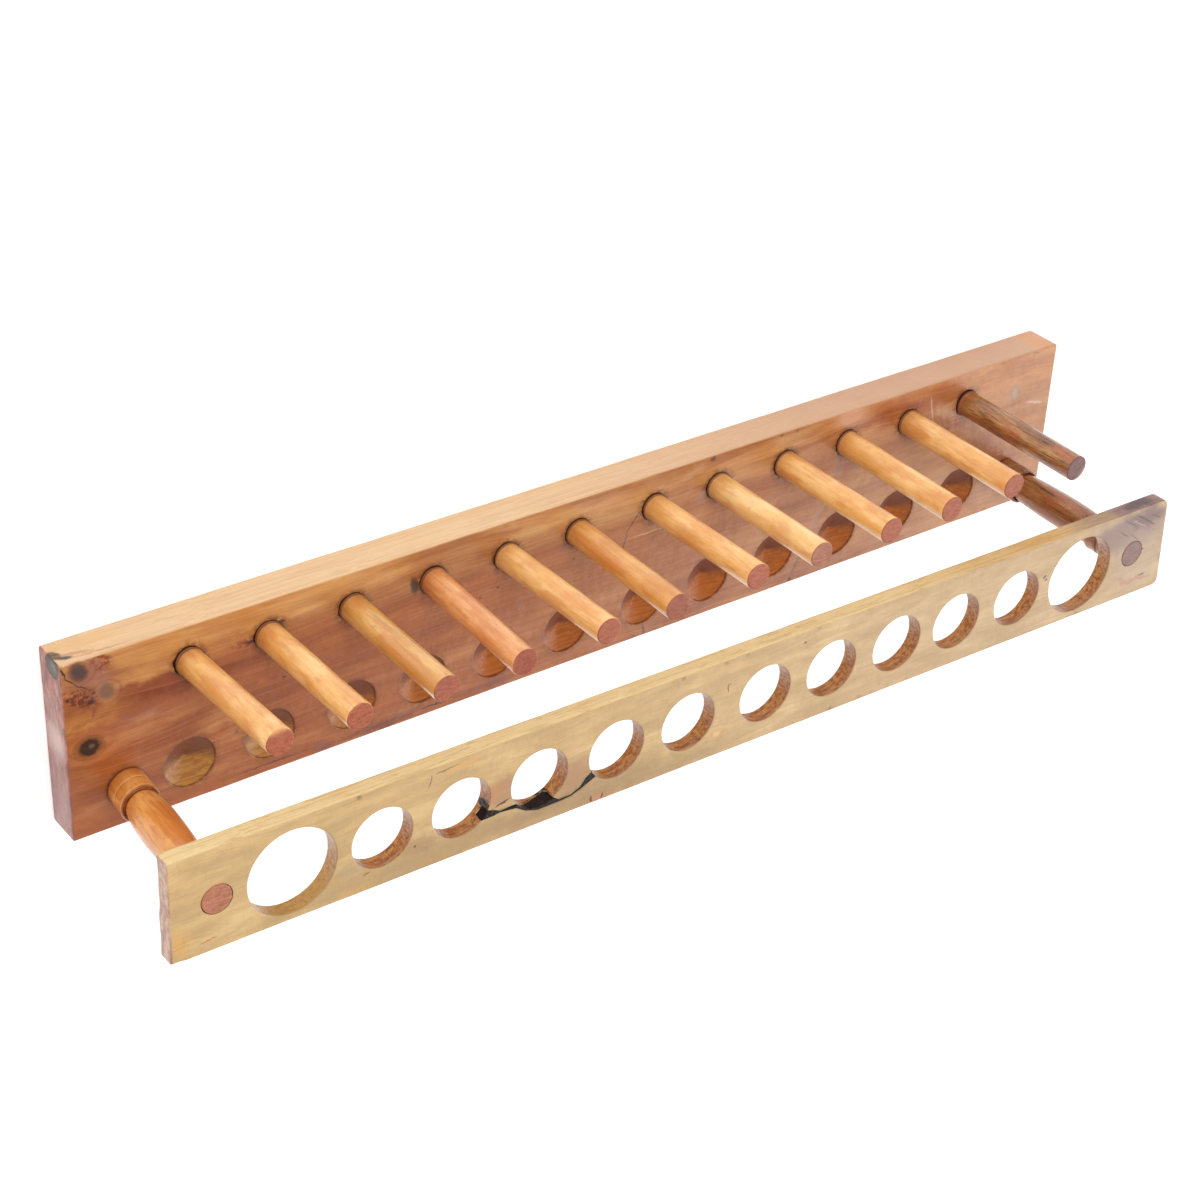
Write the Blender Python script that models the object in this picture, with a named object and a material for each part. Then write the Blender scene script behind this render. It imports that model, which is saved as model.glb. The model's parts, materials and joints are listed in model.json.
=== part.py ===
"""Wooden test tube rack with twelve drying pegs.

Metres, +Z up. The origin is the middle of the base's underside. +X runs along the rack, towards peg 12.
The plate with the tube holes is over the -Y half of the base, and the drying pegs stand on the +Y half.
"""

from math import cos, pi, radians, sin, tau

import bmesh
import bpy
from mathutils import Matrix, Vector

# Base board
BASE_LENGTH = 0.4200
BASE_WIDTH = 0.0665
BASE_THICKNESS = 0.0143
BASE_EDGE = 0.0007  # eased edges
BASE_LEFT_CORNER = 0.0008
BASE_RIGHT_CORNER = 0.0016

# Hole plate. It was glued on a little out of square, so it is turned in plan.
PLATE_LENGTH = 0.4190
PLATE_WIDTH = 0.0382
PLATE_THICKNESS = 0.0063
PLATE_UNDERSIDE = 0.0764  # height above the bench
PLATE_CENTRE = (-0.0027, -0.0179)
PLATE_TURN = radians(-0.72)
PLATE_LEFT_CORNER = 0.0010  # rounding
PLATE_RIGHT_CORNER = 0.0034
PLATE_SKEW = 0.0027  # how far the right end is out of square
PLATE_EDGE = 0.0004

# Tube holes, drilled by hand along a line in the plate: each centre's distance along X
HOLE_X = (-0.1699, -0.1382, -0.1091, -0.0793, -0.0487, -0.0191,
          0.0139, 0.0434, 0.0735, 0.1019, 0.1317, 0.1639)
HOLE_LINE_Y = -0.0189  # where that line crosses X = 0
LARGE_HOLE_RADIUS = 0.01565
SMALL_HOLE_RADIUS = 0.01105

# Conical seats in the base, one under each hole
SEAT_X = (-0.1680, -0.1388, -0.1077, -0.0798, -0.0504, -0.0207,
          0.0127, 0.0422, 0.0730, 0.1036, 0.1328, 0.1643)
SEAT_Y = -0.0184
SEAT_RADIUS = 0.0091
SEAT_LIP = 0.0007  # straight wall above the cone
SEAT_CONE = 0.0043

# Drying pegs: the foot of each along X, and how far it leans towards +X and +Y
PEG_X = (-0.1663, -0.1381, -0.1070, -0.0760, -0.0466, -0.0171,
         0.0158, 0.0441, 0.0750, 0.1044, 0.1348, 0.1642)
PEG_LEAN_X = (-0.2, -0.6, -0.5, -2.2, 1.4, -0.2, 0.8, 0.3, 1.2, 0.2, -0.2, 2.4)  # degrees
PEG_LEAN_Y = (3.3, 2.1, 0.6, 0.0, 0.3, 0.1, 0.7, 0.3, -0.2, -0.4, 0.0, -2.2)  # degrees
PEG_Y = 0.0198
PEG_RADIUS = 0.00485
PEG_HEIGHT = 0.0569  # above the base
PEG_SOCKET = 0.0090  # depth glued into the base
PEG_TIP_EDGE = 0.0004

# Turned posts: the foot of each, and how far its top is shifted from that foot
POST_FEET = {"post_left": (-0.1906, -0.0186), "post_right": (0.1893, -0.0184)}
POST_SHIFT = {"post_left": (-0.0051, 0.0028), "post_right": (0.0021, -0.0022)}
POST_SOCKET = 0.0090
TENON_RADIUS = 0.0052
COLLAR_RADIUS = 0.0070
COLLAR_HEIGHT = 0.0118  # each end's collar, with a groove round its middle
COLLAR_GROOVE = 0.0006
SHANK_NECK = 0.0054  # radius where the shank leaves a collar
SHANK_RADIUS = {"post_left": 0.0074, "post_right": 0.0067}  # where it is thickest
SHANK_FULLNESS = 0.7  # under 1 makes the shank swell out quickly from the neck
SHANK_SWELL = {"post_left": 0.42, "post_right": 0.62}  # how far up the shank that is

# Black resin in the crack from hole 3, under the rim of hole 4, to hole 5: (x, y, width, depth) along it
RESIN_CRACK = (
    (-0.1022, -0.0240, 0.0040, 0.0040),
    (-0.0975, -0.0243, 0.0028, 0.0032),
    (-0.0945, -0.0248, 0.0010, 0.0018),
    (-0.0880, -0.0256, 0.0012, 0.0012),
    (-0.0840, -0.0275, 0.0026, 0.0026),
    (-0.0793, -0.0289, 0.0028, 0.0046),
    (-0.0745, -0.0290, 0.0026, 0.0052),
    (-0.0715, -0.0297, 0.0012, 0.0030),
    (-0.0665, -0.0295, 0.0009, 0.0014),
    (-0.0628, -0.0280, 0.0012, 0.0014),
    (-0.0600, -0.0258, 0.0030, 0.0018),
    (-0.0563, -0.0236, 0.0044, 0.0024),
)

GAP = 0.0003  # between pieces that touch
OVERSHOOT = 0.0050  # how far a cutter runs past the face that it cuts
SHARPEST_CURVE = radians(35)  # a sharper fold than this is shaded as an edge
SHARPEST_EASED = radians(50)  # a gentler fold than this isn't eased

PEG_SIDES = 28
SOCKET_SIDES = 28
SEAT_SIDES = 36
HOLE_SIDES = 44
POST_SIDES = 32
SHANK_STEPS = 9
CORNER_STEPS = 5

BASE_COLOUR = (0.42, 0.17, 0.085)
PLATE_COLOUR = (0.66, 0.46, 0.25)
POST_COLOURS = {"post_left": (0.60, 0.25, 0.08), "post_right": (0.27, 0.11, 0.045)}
PEG_COLOUR = (0.74, 0.38, 0.12)
DARK_PEG_COLOUR = (0.20, 0.10, 0.05)
RESIN_COLOUR = (0.012, 0.011, 0.012)


def clear_scene():
    for obj in list(bpy.data.objects):
        bpy.data.objects.remove(obj, do_unlink=True)


def material(name, colour, roughness):
    made = bpy.data.materials.new(name)
    made.use_nodes = True
    shader = made.node_tree.nodes["Principled BSDF"]
    shader.inputs["Base Color"].default_value = (*colour, 1.0)
    shader.inputs["Roughness"].default_value = roughness
    shader.inputs["Metallic"].default_value = 0.0
    return made


def mesh_object(name, bm, paint=None, smooth=False):
    bmesh.ops.recalc_face_normals(bm, faces=bm.faces)
    mesh = bpy.data.meshes.new(name)
    bm.to_mesh(mesh)
    bm.free()
    if smooth:
        mesh.shade_smooth()
        mesh.set_sharp_from_angle(angle=SHARPEST_CURVE)
    if paint:
        mesh.materials.append(paint)
    obj = bpy.data.objects.new(name, mesh)
    bpy.context.collection.objects.link(obj)
    return obj


def hide_cutter(obj):
    obj.hide_render = True
    obj.display_type = "WIRE"
    return obj


def turned_mesh(profile, sides):
    """A closed solid of revolution about Z. The profile's (radius, height) points run upwards."""
    bm = bmesh.new()
    rings = []
    for radius, height in profile:
        if radius == 0:
            rings.append([bm.verts.new((0, 0, height))])
            continue
        turns = [tau * side / sides for side in range(sides)]
        rings.append([bm.verts.new((radius * cos(a), radius * sin(a), height)) for a in turns])
    for low, high in zip(rings, rings[1:]):
        for side in range(sides):
            following = (side + 1) % sides
            corners = [low[side % len(low)], low[following % len(low)],
                       high[following % len(high)], high[side % len(high)]]
            bm.faces.new(list(dict.fromkeys(corners)))
    if len(rings[0]) > 1:
        bm.faces.new(rings[0])
    if len(rings[-1]) > 1:
        bm.faces.new(rings[-1])
    return bm


def cylinder_mesh(radius, low, high, sides):
    return turned_mesh([(radius, low), (radius, high)], sides)


def cut(target, cutter):
    modifier = target.modifiers.new(cutter.name, "BOOLEAN")
    modifier.operation = "DIFFERENCE"
    modifier.solver = "EXACT"
    modifier.object = cutter


def joined_cutter(name, meshes):
    """One cutter made of several separate shapes, each a bmesh with the matrix that places it."""
    whole = bmesh.new()
    for bm, place in meshes:
        bmesh.ops.transform(bm, matrix=place, verts=bm.verts)
        piece = bpy.data.meshes.new(name)
        bmesh.ops.recalc_face_normals(bm, faces=bm.faces)
        bm.to_mesh(piece)
        bm.free()
        whole.from_mesh(piece)
        bpy.data.meshes.remove(piece)
    mesh = bpy.data.meshes.new(name)
    whole.to_mesh(mesh)
    whole.free()
    obj = bpy.data.objects.new(name, mesh)
    bpy.context.collection.objects.link(obj)
    return hide_cutter(obj)


def rounded_outline(corners):
    """A board's outline seen from above, from its corners in order, each an (x, y, rounding)."""
    points = []
    for index, (x, y, rounding) in enumerate(corners):
        corner = Vector((x, y))
        before = Vector(corners[index - 1][:2])
        after = Vector(corners[(index + 1) % len(corners)][:2])
        start = corner + (before - corner).normalized() * rounding
        end = corner + (after - corner).normalized() * rounding
        for step in range(CORNER_STEPS + 1):
            t = step / CORNER_STEPS
            points.append(start * (1 - t) ** 2 + corner * 2 * t * (1 - t) + end * t ** 2)
    return points


def prism_mesh(outline, low, high):
    bm = bmesh.new()
    bottom = [bm.verts.new((x, y, low)) for x, y in outline]
    top = [bm.verts.new((x, y, high)) for x, y in outline]
    bm.faces.new(bottom)
    bm.faces.new(top)
    for near in range(len(outline)):
        far = (near + 1) % len(outline)
        bm.faces.new((bottom[near], bottom[far], top[far], top[near]))
    return bm


def ease_edges(obj, width):
    bevel = obj.modifiers.new("eased edges", "BEVEL")
    bevel.width = width
    bevel.segments = 2
    bevel.limit_method = "ANGLE"
    bevel.angle_limit = SHARPEST_EASED


def lean_matrix(foot, lean_x, lean_y):
    """Places a piece at its foot, leaning towards +X and +Y by these angles."""
    axis = Vector((sin(lean_x), sin(lean_y), 1.0)).normalized()
    turn = Vector((0, 0, 1)).rotation_difference(axis).to_matrix().to_4x4()
    return Matrix.Translation(foot) @ turn


def peg_places():
    places = []
    for x, lean_x, lean_y in zip(PEG_X, PEG_LEAN_X, PEG_LEAN_Y):
        foot = (x, PEG_Y, BASE_THICKNESS)
        places.append(lean_matrix(foot, radians(lean_x), radians(lean_y)))
    return places


def post_matrix(name):
    """Places a post at its foot and shears it, so that its shoulders stay parallel to the boards."""
    foot_x, foot_y = POST_FEET[name]
    shift_x, shift_y = POST_SHIFT[name]
    rise = PLATE_UNDERSIDE + PLATE_THICKNESS - BASE_THICKNESS
    shear = Matrix.Identity(4)
    shear[0][2] = shift_x / rise
    shear[1][2] = shift_y / rise
    return Matrix.Translation((foot_x, foot_y, BASE_THICKNESS)) @ shear


def plate_matrix():
    return Matrix.Translation((*PLATE_CENTRE, 0.0)) @ Matrix.Rotation(PLATE_TURN, 4, "Z")


def hole_centre(x):
    return (x, HOLE_LINE_Y + x * PLATE_TURN)


def base_corners():
    end, side = BASE_LENGTH / 2, BASE_WIDTH / 2
    return [(end, side, BASE_RIGHT_CORNER), (-end, side, BASE_LEFT_CORNER),
            (-end, -side, BASE_LEFT_CORNER), (end, -side, BASE_RIGHT_CORNER)]


def plate_corners():
    end, side = PLATE_LENGTH / 2, PLATE_WIDTH / 2
    return [(end, side, PLATE_RIGHT_CORNER),
            (-end, side, PLATE_LEFT_CORNER),
            (-end, -side, PLATE_LEFT_CORNER),
            (end + PLATE_SKEW, -side, PLATE_RIGHT_CORNER)]


def make_base():
    bm = prism_mesh(rounded_outline(base_corners()), 0.0, BASE_THICKNESS)
    base = mesh_object("base_board", bm, material("base wood", BASE_COLOUR, 0.32))
    ease_edges(base, BASE_EDGE)

    seats = []
    lip_bottom = BASE_THICKNESS - SEAT_LIP
    for x in SEAT_X:
        profile = [(0, lip_bottom - SEAT_CONE), (SEAT_RADIUS, lip_bottom),
                   (SEAT_RADIUS, BASE_THICKNESS + OVERSHOOT)]
        seats.append((turned_mesh(profile, SEAT_SIDES), Matrix.Translation((x, SEAT_Y, 0))))
    cut(base, joined_cutter("seat cutter", seats))

    sockets = []
    for place in peg_places():
        bm = cylinder_mesh(PEG_RADIUS + GAP, -PEG_SOCKET - GAP, OVERSHOOT, SOCKET_SIDES)
        sockets.append((bm, place))
    for name in POST_FEET:
        bm = cylinder_mesh(TENON_RADIUS + GAP, -POST_SOCKET - GAP, OVERSHOOT, SOCKET_SIDES)
        sockets.append((bm, post_matrix(name)))
    cut(base, joined_cutter("socket cutter", sockets))
    return base


def resin_mesh(inset, low, high):
    """The resin as one strip. A positive inset makes it smaller on every side, and a negative one larger.

    Its top is at the height high, and its bottom at each point's own depth under low.
    """
    centres = [Vector(point[:2]) for point in RESIN_CRACK]
    bm = bmesh.new()
    sections = []
    for index, (x, y, width, depth) in enumerate(RESIN_CRACK):
        along = centres[min(index + 1, len(centres) - 1)] - centres[max(index - 1, 0)]
        across = Vector((-along.y, along.x)).normalized() * (width / 2 - inset)
        corners = [centres[index] - across, centres[index] + across]
        bottom = [bm.verts.new((*corner, low - depth)) for corner in corners]
        top = [bm.verts.new((*corner, high)) for corner in reversed(corners)]
        sections.append(bottom + top)
    for here, there in zip(sections, sections[1:]):
        for near in range(4):
            far = (near + 1) % 4
            bm.faces.new((here[near], here[far], there[far], there[near]))
    bm.faces.new(sections[0])
    bm.faces.new(sections[-1])
    return bm


def hole_cutter():
    low = PLATE_UNDERSIDE - OVERSHOOT
    high = PLATE_UNDERSIDE + PLATE_THICKNESS + OVERSHOOT
    holes = []
    for number, x in enumerate(HOLE_X):
        radius = LARGE_HOLE_RADIUS if number in (0, len(HOLE_X) - 1) else SMALL_HOLE_RADIUS
        place = Matrix.Translation((*hole_centre(x), 0))
        holes.append((cylinder_mesh(radius, low, high, HOLE_SIDES), place))
    return joined_cutter("hole cutter", holes)


def make_plate(holes):
    top = PLATE_UNDERSIDE + PLATE_THICKNESS
    bm = prism_mesh(rounded_outline(plate_corners()), PLATE_UNDERSIDE, top)
    bmesh.ops.transform(bm, matrix=plate_matrix(), verts=bm.verts)
    plate = mesh_object("hole_plate", bm, material("plate wood", PLATE_COLOUR, 0.36))
    ease_edges(plate, PLATE_EDGE)

    mortises = []
    for name in POST_FEET:
        rise = PLATE_UNDERSIDE - BASE_THICKNESS
        bm = cylinder_mesh(TENON_RADIUS + GAP, rise - OVERSHOOT,
                           rise + PLATE_THICKNESS + OVERSHOOT, SOCKET_SIDES)
        mortises.append((bm, post_matrix(name)))
    cut(plate, joined_cutter("mortise cutter", mortises))

    crack = resin_mesh(-GAP / 2, top - GAP, top + OVERSHOOT)
    cut(plate, joined_cutter("crack cutter", [(crack, Matrix.Identity(4))]))
    cut(plate, holes)
    return plate


def make_resin(holes):
    top = PLATE_UNDERSIDE + PLATE_THICKNESS
    bm = resin_mesh(GAP / 2, top, top)
    resin = mesh_object("resin_fill", bm, material("black resin", RESIN_COLOUR, 0.12))
    cut(resin, holes)
    return resin


def collar_profile(foot, head):
    """Two beads with a groove between them, from one height to another."""
    middle = (foot + head) / 2
    return [
        (COLLAR_RADIUS, foot),
        (COLLAR_RADIUS, middle - COLLAR_GROOVE),
        (COLLAR_RADIUS - COLLAR_GROOVE, middle),
        (COLLAR_RADIUS, middle + COLLAR_GROOVE),
        (COLLAR_RADIUS, head),
    ]


def shank_profile(name, foot, head):
    """The swelling between the collars: it leaves each at the neck and is thickest part of the way up."""
    points = []
    swell = SHANK_SWELL[name]
    for step in range(SHANK_STEPS + 1):
        t = step / SHANK_STEPS
        nearness = t / swell if t < swell else (1 - t) / (1 - swell)
        bulge = sin(nearness * pi / 2) ** SHANK_FULLNESS
        radius = SHANK_NECK + (SHANK_RADIUS[name] - SHANK_NECK) * bulge
        points.append((radius, foot + (head - foot) * t))
    return points


def make_post(name):
    shoulder = PLATE_UNDERSIDE - BASE_THICKNESS - GAP
    flush = PLATE_UNDERSIDE + PLATE_THICKNESS - BASE_THICKNESS
    profile = [(TENON_RADIUS, -POST_SOCKET), (TENON_RADIUS, GAP)]
    profile += collar_profile(GAP, COLLAR_HEIGHT)
    profile += shank_profile(name, COLLAR_HEIGHT, shoulder - COLLAR_HEIGHT)
    profile += collar_profile(shoulder - COLLAR_HEIGHT, shoulder)
    profile += [(TENON_RADIUS, shoulder), (TENON_RADIUS, flush)]
    bm = turned_mesh(profile, POST_SIDES)
    bmesh.ops.transform(bm, matrix=post_matrix(name), verts=bm.verts)
    paint = material(name + " wood", POST_COLOURS[name], 0.30)
    return mesh_object(name, bm, paint, smooth=True)


def make_pegs():
    light = material("peg wood", PEG_COLOUR, 0.26)
    dark = material("dark peg wood", DARK_PEG_COLOUR, 0.30)
    profile = [
        (PEG_RADIUS - PEG_TIP_EDGE, -PEG_SOCKET),
        (PEG_RADIUS, -PEG_SOCKET + PEG_TIP_EDGE),
        (PEG_RADIUS, PEG_HEIGHT - PEG_TIP_EDGE),
        (PEG_RADIUS - PEG_TIP_EDGE, PEG_HEIGHT),
    ]
    for number, place in enumerate(peg_places(), start=1):
        bm = turned_mesh(profile, PEG_SIDES)
        paint = dark if number == len(PEG_X) else light
        peg = mesh_object(f"peg_{number:02d}", bm, paint, smooth=True)
        peg.matrix_world = place


def main():
    clear_scene()
    make_base()
    holes = hole_cutter()
    make_plate(holes)
    make_resin(holes)
    for name in POST_FEET:
        make_post(name)
    make_pegs()


main()
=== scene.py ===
"""Wooden test tube rack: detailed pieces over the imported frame, a pale floor, soft studio light and a camera.

Lengths are in metres, except in the materials, whose nodes work in millimetres.
"""

import json
from math import ceil, cos, exp, pi, radians, sin, sqrt, tau

import bmesh
import bpy
from mathutils import Matrix, Vector, noise
from mathutils.geometry import convex_hull_2d, delaunay_2d_cdt


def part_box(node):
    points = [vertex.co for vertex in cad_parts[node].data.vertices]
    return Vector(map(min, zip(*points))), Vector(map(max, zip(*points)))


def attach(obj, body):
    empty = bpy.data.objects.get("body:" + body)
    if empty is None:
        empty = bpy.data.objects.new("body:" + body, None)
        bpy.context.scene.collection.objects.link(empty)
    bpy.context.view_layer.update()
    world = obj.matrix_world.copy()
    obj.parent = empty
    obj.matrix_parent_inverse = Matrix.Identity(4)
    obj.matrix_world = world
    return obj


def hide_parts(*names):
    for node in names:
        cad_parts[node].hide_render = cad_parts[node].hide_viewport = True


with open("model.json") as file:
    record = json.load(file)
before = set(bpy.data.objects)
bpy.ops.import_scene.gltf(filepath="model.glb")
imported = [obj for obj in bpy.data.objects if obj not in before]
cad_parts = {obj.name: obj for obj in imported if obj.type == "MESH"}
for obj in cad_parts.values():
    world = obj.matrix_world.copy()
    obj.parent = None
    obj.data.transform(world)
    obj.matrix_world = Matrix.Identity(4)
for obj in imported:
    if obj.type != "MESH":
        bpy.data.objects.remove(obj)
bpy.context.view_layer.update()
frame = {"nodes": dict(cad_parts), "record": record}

OPENINGS = {row["name"]: row["box_m"] for row in frame["record"]["physics"]["openings"]}
OPENING_SHARE = 0.70  # an opening's half side, as a share of its hole's radius
TUBES = 12

CAMERA_PLACE = Vector((-0.46568, 0.46345, 0.61395))
CAMERA_FORWARD = Vector((0.5148964, -0.5321123, -0.6721147))
CAMERA_UP = Vector((0.2841198, 0.8456468, -0.4518378))
CAMERA_LENS = 76.17

MM = 0.001
EDGE_STEPS = 4  # faces across a rounded edge
FLAT_STRIP = 0.3 * MM  # flat ring beside each rounded edge, which keeps its shading off the face
GRID_JITTER = 0.2  # how far a sheet's inner points move about, as a share of their spacing
OUTLINE_MARGIN = 0.6  # how far they keep from the sheet's outline, as such a share
RING_MARGIN = 0.55  # and from its holes
SHARP_ANGLE = 50  # boards shade sharp across edges over this many degrees

BASE_EDGE = 0.6 * MM
PLATE_EDGE = 0.45 * MM
HOLE_EDGE = 0.35 * MM
SOCKET_EDGE = 0.45 * MM
SOCKET_ROOM = 0.16 * MM
SEAT_EDGE = 0.40 * MM
SEAT_RADIUS = 9.1 * MM
SEAT_LIP = 0.7 * MM
SEAT_CONE = 4.3 * MM
PEG_RADIUS = 4.85 * MM
PEG_SOCKET = 9.0 * MM
PEG_ROOM = {0: 0.95, 1: 0.45, 6: 0.7, 11: 0.6}  # how wide some sockets gape on one side, in millimetres
GAPE_TURN = radians(140)  # and the side that they gape to
TENON_RADIUS = 5.2 * MM
POST_SOCKET = 9.0 * MM
MORTISE_EDGE = 0.12 * MM
MORTISE_ROOM = {"post_left": 0.20 * MM, "post_right": 0.10 * MM}
COLLAR_RADIUS = 7.0 * MM
COLLAR_HEIGHT = 11.8 * MM
SHANK_NECK = 5.3 * MM
SHANK_RADIUS = {"post_left": 6.85 * MM, "post_right": 6.4 * MM}
SHANK_SWELL = {"post_left": 0.42, "post_right": 0.62}
SHANK_FULLNESS = 0.55

OUTLINE_STEP = 1.5 * MM
TOP_SPACING = {"base_board": 1.6 * MM, "hole_plate": 1.5 * MM}
UNDER_SPACING = {"base_board": 5 * MM, "hole_plate": 3 * MM}
SIDE_ROWS = {"base_board": 9, "hole_plate": 5}
SEAT_SIDES, SEAT_STEPS = 88, 22
SOCKET_SIDES = 64
HOLE_SIDES, HOLE_STEPS = 112, 7
PEG_SIDES, PEG_STEPS = 72, 64
POST_SIDES, POST_STEPS = 96, 44


# ---------------------------------------------------------------- what the frame says


def node_points(node):
    return [vertex.co.copy() for vertex in frame["nodes"][node].data.vertices]


def axis_of(node):
    """The centres of a turned node's lowest and highest discs."""
    points = node_points(node)
    low, high = min(p.z for p in points), max(p.z for p in points)
    ends = []
    for group in ([p for p in points if p.z < low + MM], [p for p in points if p.z > high - MM]):
        ends.append(sum(group, Vector()) / len(group))
    return ends


def axis_at(axis, height):
    foot, head = axis
    return foot.lerp(head, (height - foot.z) / (head.z - foot.z))


def opening(name):
    """The centre and radius of the hole or seat that an opening stands in."""
    low, high = OPENINGS[name]
    centre = Vector(((low[0] + high[0]) / 2, (low[1] + high[1]) / 2))
    return centre, (high[0] - low[0]) / 2 / OPENING_SHARE


BASE_LOW, BASE_HIGH = (Vector(corner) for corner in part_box("base_board"))
PLATE_LOW, PLATE_HIGH = (Vector(corner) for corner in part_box("hole_plate"))
BASE_TOP = BASE_HIGH.z
PEGS = [f"peg_{number:02d}" for number in range(1, TUBES + 1)]
POSTS = ["post_left", "post_right"]
AXES = {node: axis_of(node) for node in PEGS + POSTS}
HOLES = [opening(f"tube_hole_{number:02d}") for number in range(1, TUBES + 1)]
SEATS = [opening(f"tube_seat_{number:02d}")[0] for number in range(1, TUBES + 1)]


# ---------------------------------------------------------------- meshes


def ripple(x, y, z, size):
    """Smooth noise from -1 to 1, with features of about this size."""
    return noise.noise(Vector((x, y, z)) / size)


def dip(x, y, z, size, depth):
    """A smooth dip, from nothing to twice this depth in millimetres."""
    return depth * MM * (1 + ripple(x, y, z, size))


def stray(reach, seed, size):
    """How far a hole's wall strays from round, as a function of the turn. The reach is in millimetres."""
    return lambda turn: reach * MM * ripple(cos(turn), sin(turn), seed, size)


class Shell:
    """Points and faces of one closed mesh, with how far each point is inside a bore and how much painted shade
    it takes.
    """

    def __init__(self):
        self.points, self.faces, self.wall, self.painted_shade = [], [], [], []

    def ring(self, points, wall=0.0, painted_shade=0.0):
        start = len(self.points)
        self.points += points
        self.wall += [wall] * len(points)
        self.painted_shade += [painted_shade] * len(points)
        return list(range(start, len(self.points)))

    def bridge(self, lower, upper):
        for here in range(len(lower)):
            there = (here + 1) % len(lower)
            self.faces.append((lower[here], lower[there], upper[there], upper[here]))

    def loft(self, rings):
        for lower, upper in zip(rings, rings[1:]):
            self.bridge(lower, upper)

    def cap(self, ring, up):
        """Closes a ring with a fan round its middle point."""
        middle = sum((self.points[index] for index in ring), Vector()) / len(ring)
        centre = self.ring([middle], self.wall[ring[0]])[0]
        for here in range(len(ring)):
            there = (here + 1) % len(ring)
            corners = (ring[here], ring[there], centre)
            self.faces.append(corners if up else corners[::-1])

    def sheet(self, outer, inner, height, spacing, up):
        """Fills between one outer ring and the inner rings with small triangles that follow the height."""
        coords, ids, edges, circles = [], [], [], []
        for ring in [outer] + inner:
            start = len(coords)
            coords += [self.points[index].xy / MM for index in ring]
            ids += ring
            edges += [(start + step, start + (step + 1) % len(ring)) for step in range(len(ring))]
        for ring in inner:
            middle = sum((self.points[index].xy for index in ring), Vector((0, 0))) / len(ring)
            reach = max((self.points[index].xy - middle).length for index in ring)
            circles.append((middle, reach + RING_MARGIN * spacing))
        hull = [self.points[index].xy for index in outer]
        hull = [hull[index] for index in convex_hull_2d(hull)]
        sides = []
        for here, there in zip(hull, hull[1:] + hull[:1]):
            along = there - here
            if along.length > 0.05 * MM:
                sides.append((here, Vector((-along.y, along.x)).normalized()))
        low = [min(p[i] for p in hull) for i in range(2)]
        high = [max(p[i] for p in hull) for i in range(2)]
        row_step = spacing * sqrt(3) / 2
        for row in range(int((high[1] - low[1]) / row_step) + 1):
            y = low[1] + row * row_step
            for column in range(int((high[0] - low[0]) / spacing) + 1):
                x = low[0] + (column + 0.5 * (row % 2)) * spacing
                shift = Vector((ripple(x, y, 1, spacing), ripple(x, y, 5, spacing)))
                spot = Vector((x, y)) + shift * spacing * GRID_JITTER
                if any((spot - here).dot(inward) < OUTLINE_MARGIN * spacing for here, inward in sides):
                    continue
                if all((spot - middle).length > reach for middle, reach in circles):
                    coords.append(spot / MM)
        flat, _, triangles, origins, _, _ = delaunay_2d_cdt(coords, edges, [], 1, 1e-4, True)
        bore_of = {index: number for number, ring in enumerate(inner) for index in ring}
        places = []
        for point, origin in zip(flat, origins):
            known = [index for index in origin if index < len(ids)]
            if known:
                places.append(ids[known[0]])
            else:
                x, y = point * MM
                places.append(self.ring([Vector((x, y, height(x, y)))])[0])
        for triangle in triangles:
            corners = [places[index] for index in triangle]
            bores = {bore_of.get(index) for index in corners}
            if len(bores) == 1 and None not in bores:
                continue
            a, b, c = (self.points[index].xy for index in corners)
            if ((b - a).cross(c - a) > 0) != up:
                corners.reverse()
            self.faces.append(tuple(corners))

    def piece(self, name, paint, node, sharp=None):
        mesh = bpy.data.meshes.new(name)
        mesh.from_pydata(self.points, [], self.faces)
        for label, values in (("wall", self.wall), ("painted_shade", self.painted_shade)):
            mesh.attributes.new(label, "FLOAT", "POINT").data.foreach_set("value", values)
        return finish_piece(name, mesh, paint, node, sharp)


def add_object(name, data):
    obj = bpy.data.objects.new(name, data)
    bpy.context.scene.collection.objects.link(obj)
    return obj


def finish_piece(name, mesh, paint, node, sharp=None):
    """An object that rides on the body, takes its node's place and gets its material."""
    mesh.shade_smooth()
    if sharp:
        mesh.set_sharp_from_angle(angle=radians(sharp))
    mesh.materials.clear()
    mesh.materials.append(paint)
    piece = add_object(name, mesh)
    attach(piece, "root")
    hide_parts(node)
    return piece


def outline_of(node):
    """A node's outline seen from above, as evenly spaced points, each with its inward direction."""
    flat = [point.xy for point in node_points(node)]
    hull = [flat[index] for index in convex_hull_2d(flat)]
    corners = [hull[0]]
    for point in hull[1:]:
        if (point - corners[-1]).length > 0.02 * MM:
            corners.append(point)
    area = sum(a.cross(b) for a, b in zip(corners, corners[1:] + corners[:1]))
    if area < 0:
        corners.reverse()
    count = len(corners)
    normals = []
    for index in range(count):
        along = corners[(index + 1) % count] - corners[index]
        normals.append(Vector((-along.y, along.x)).normalized())
    places = []
    for index in range(count):
        start, end = corners[index], corners[(index + 1) % count]
        steps = max(1, ceil((end - start).length / OUTLINE_STEP))
        for step in range(steps):
            if step:
                inward = normals[index]
            else:
                inward = (normals[index - 1] + normals[index]).normalized()
                inward /= max(0.5, inward.dot(normals[index]))
            places.append((start.lerp(end, step / steps), inward))
    return places


def edge_rows(edge):
    """(inset, drop) down a rounded edge, from the flat strip beside it to where it meets the side."""
    rows = [(edge + FLAT_STRIP, 0.0)]
    for step in range(EDGE_STEPS + 1):
        turn = step / EDGE_STEPS * pi / 2
        rows.append((edge * (1 - sin(turn)), edge * (1 - cos(turn))))
    return rows


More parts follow.
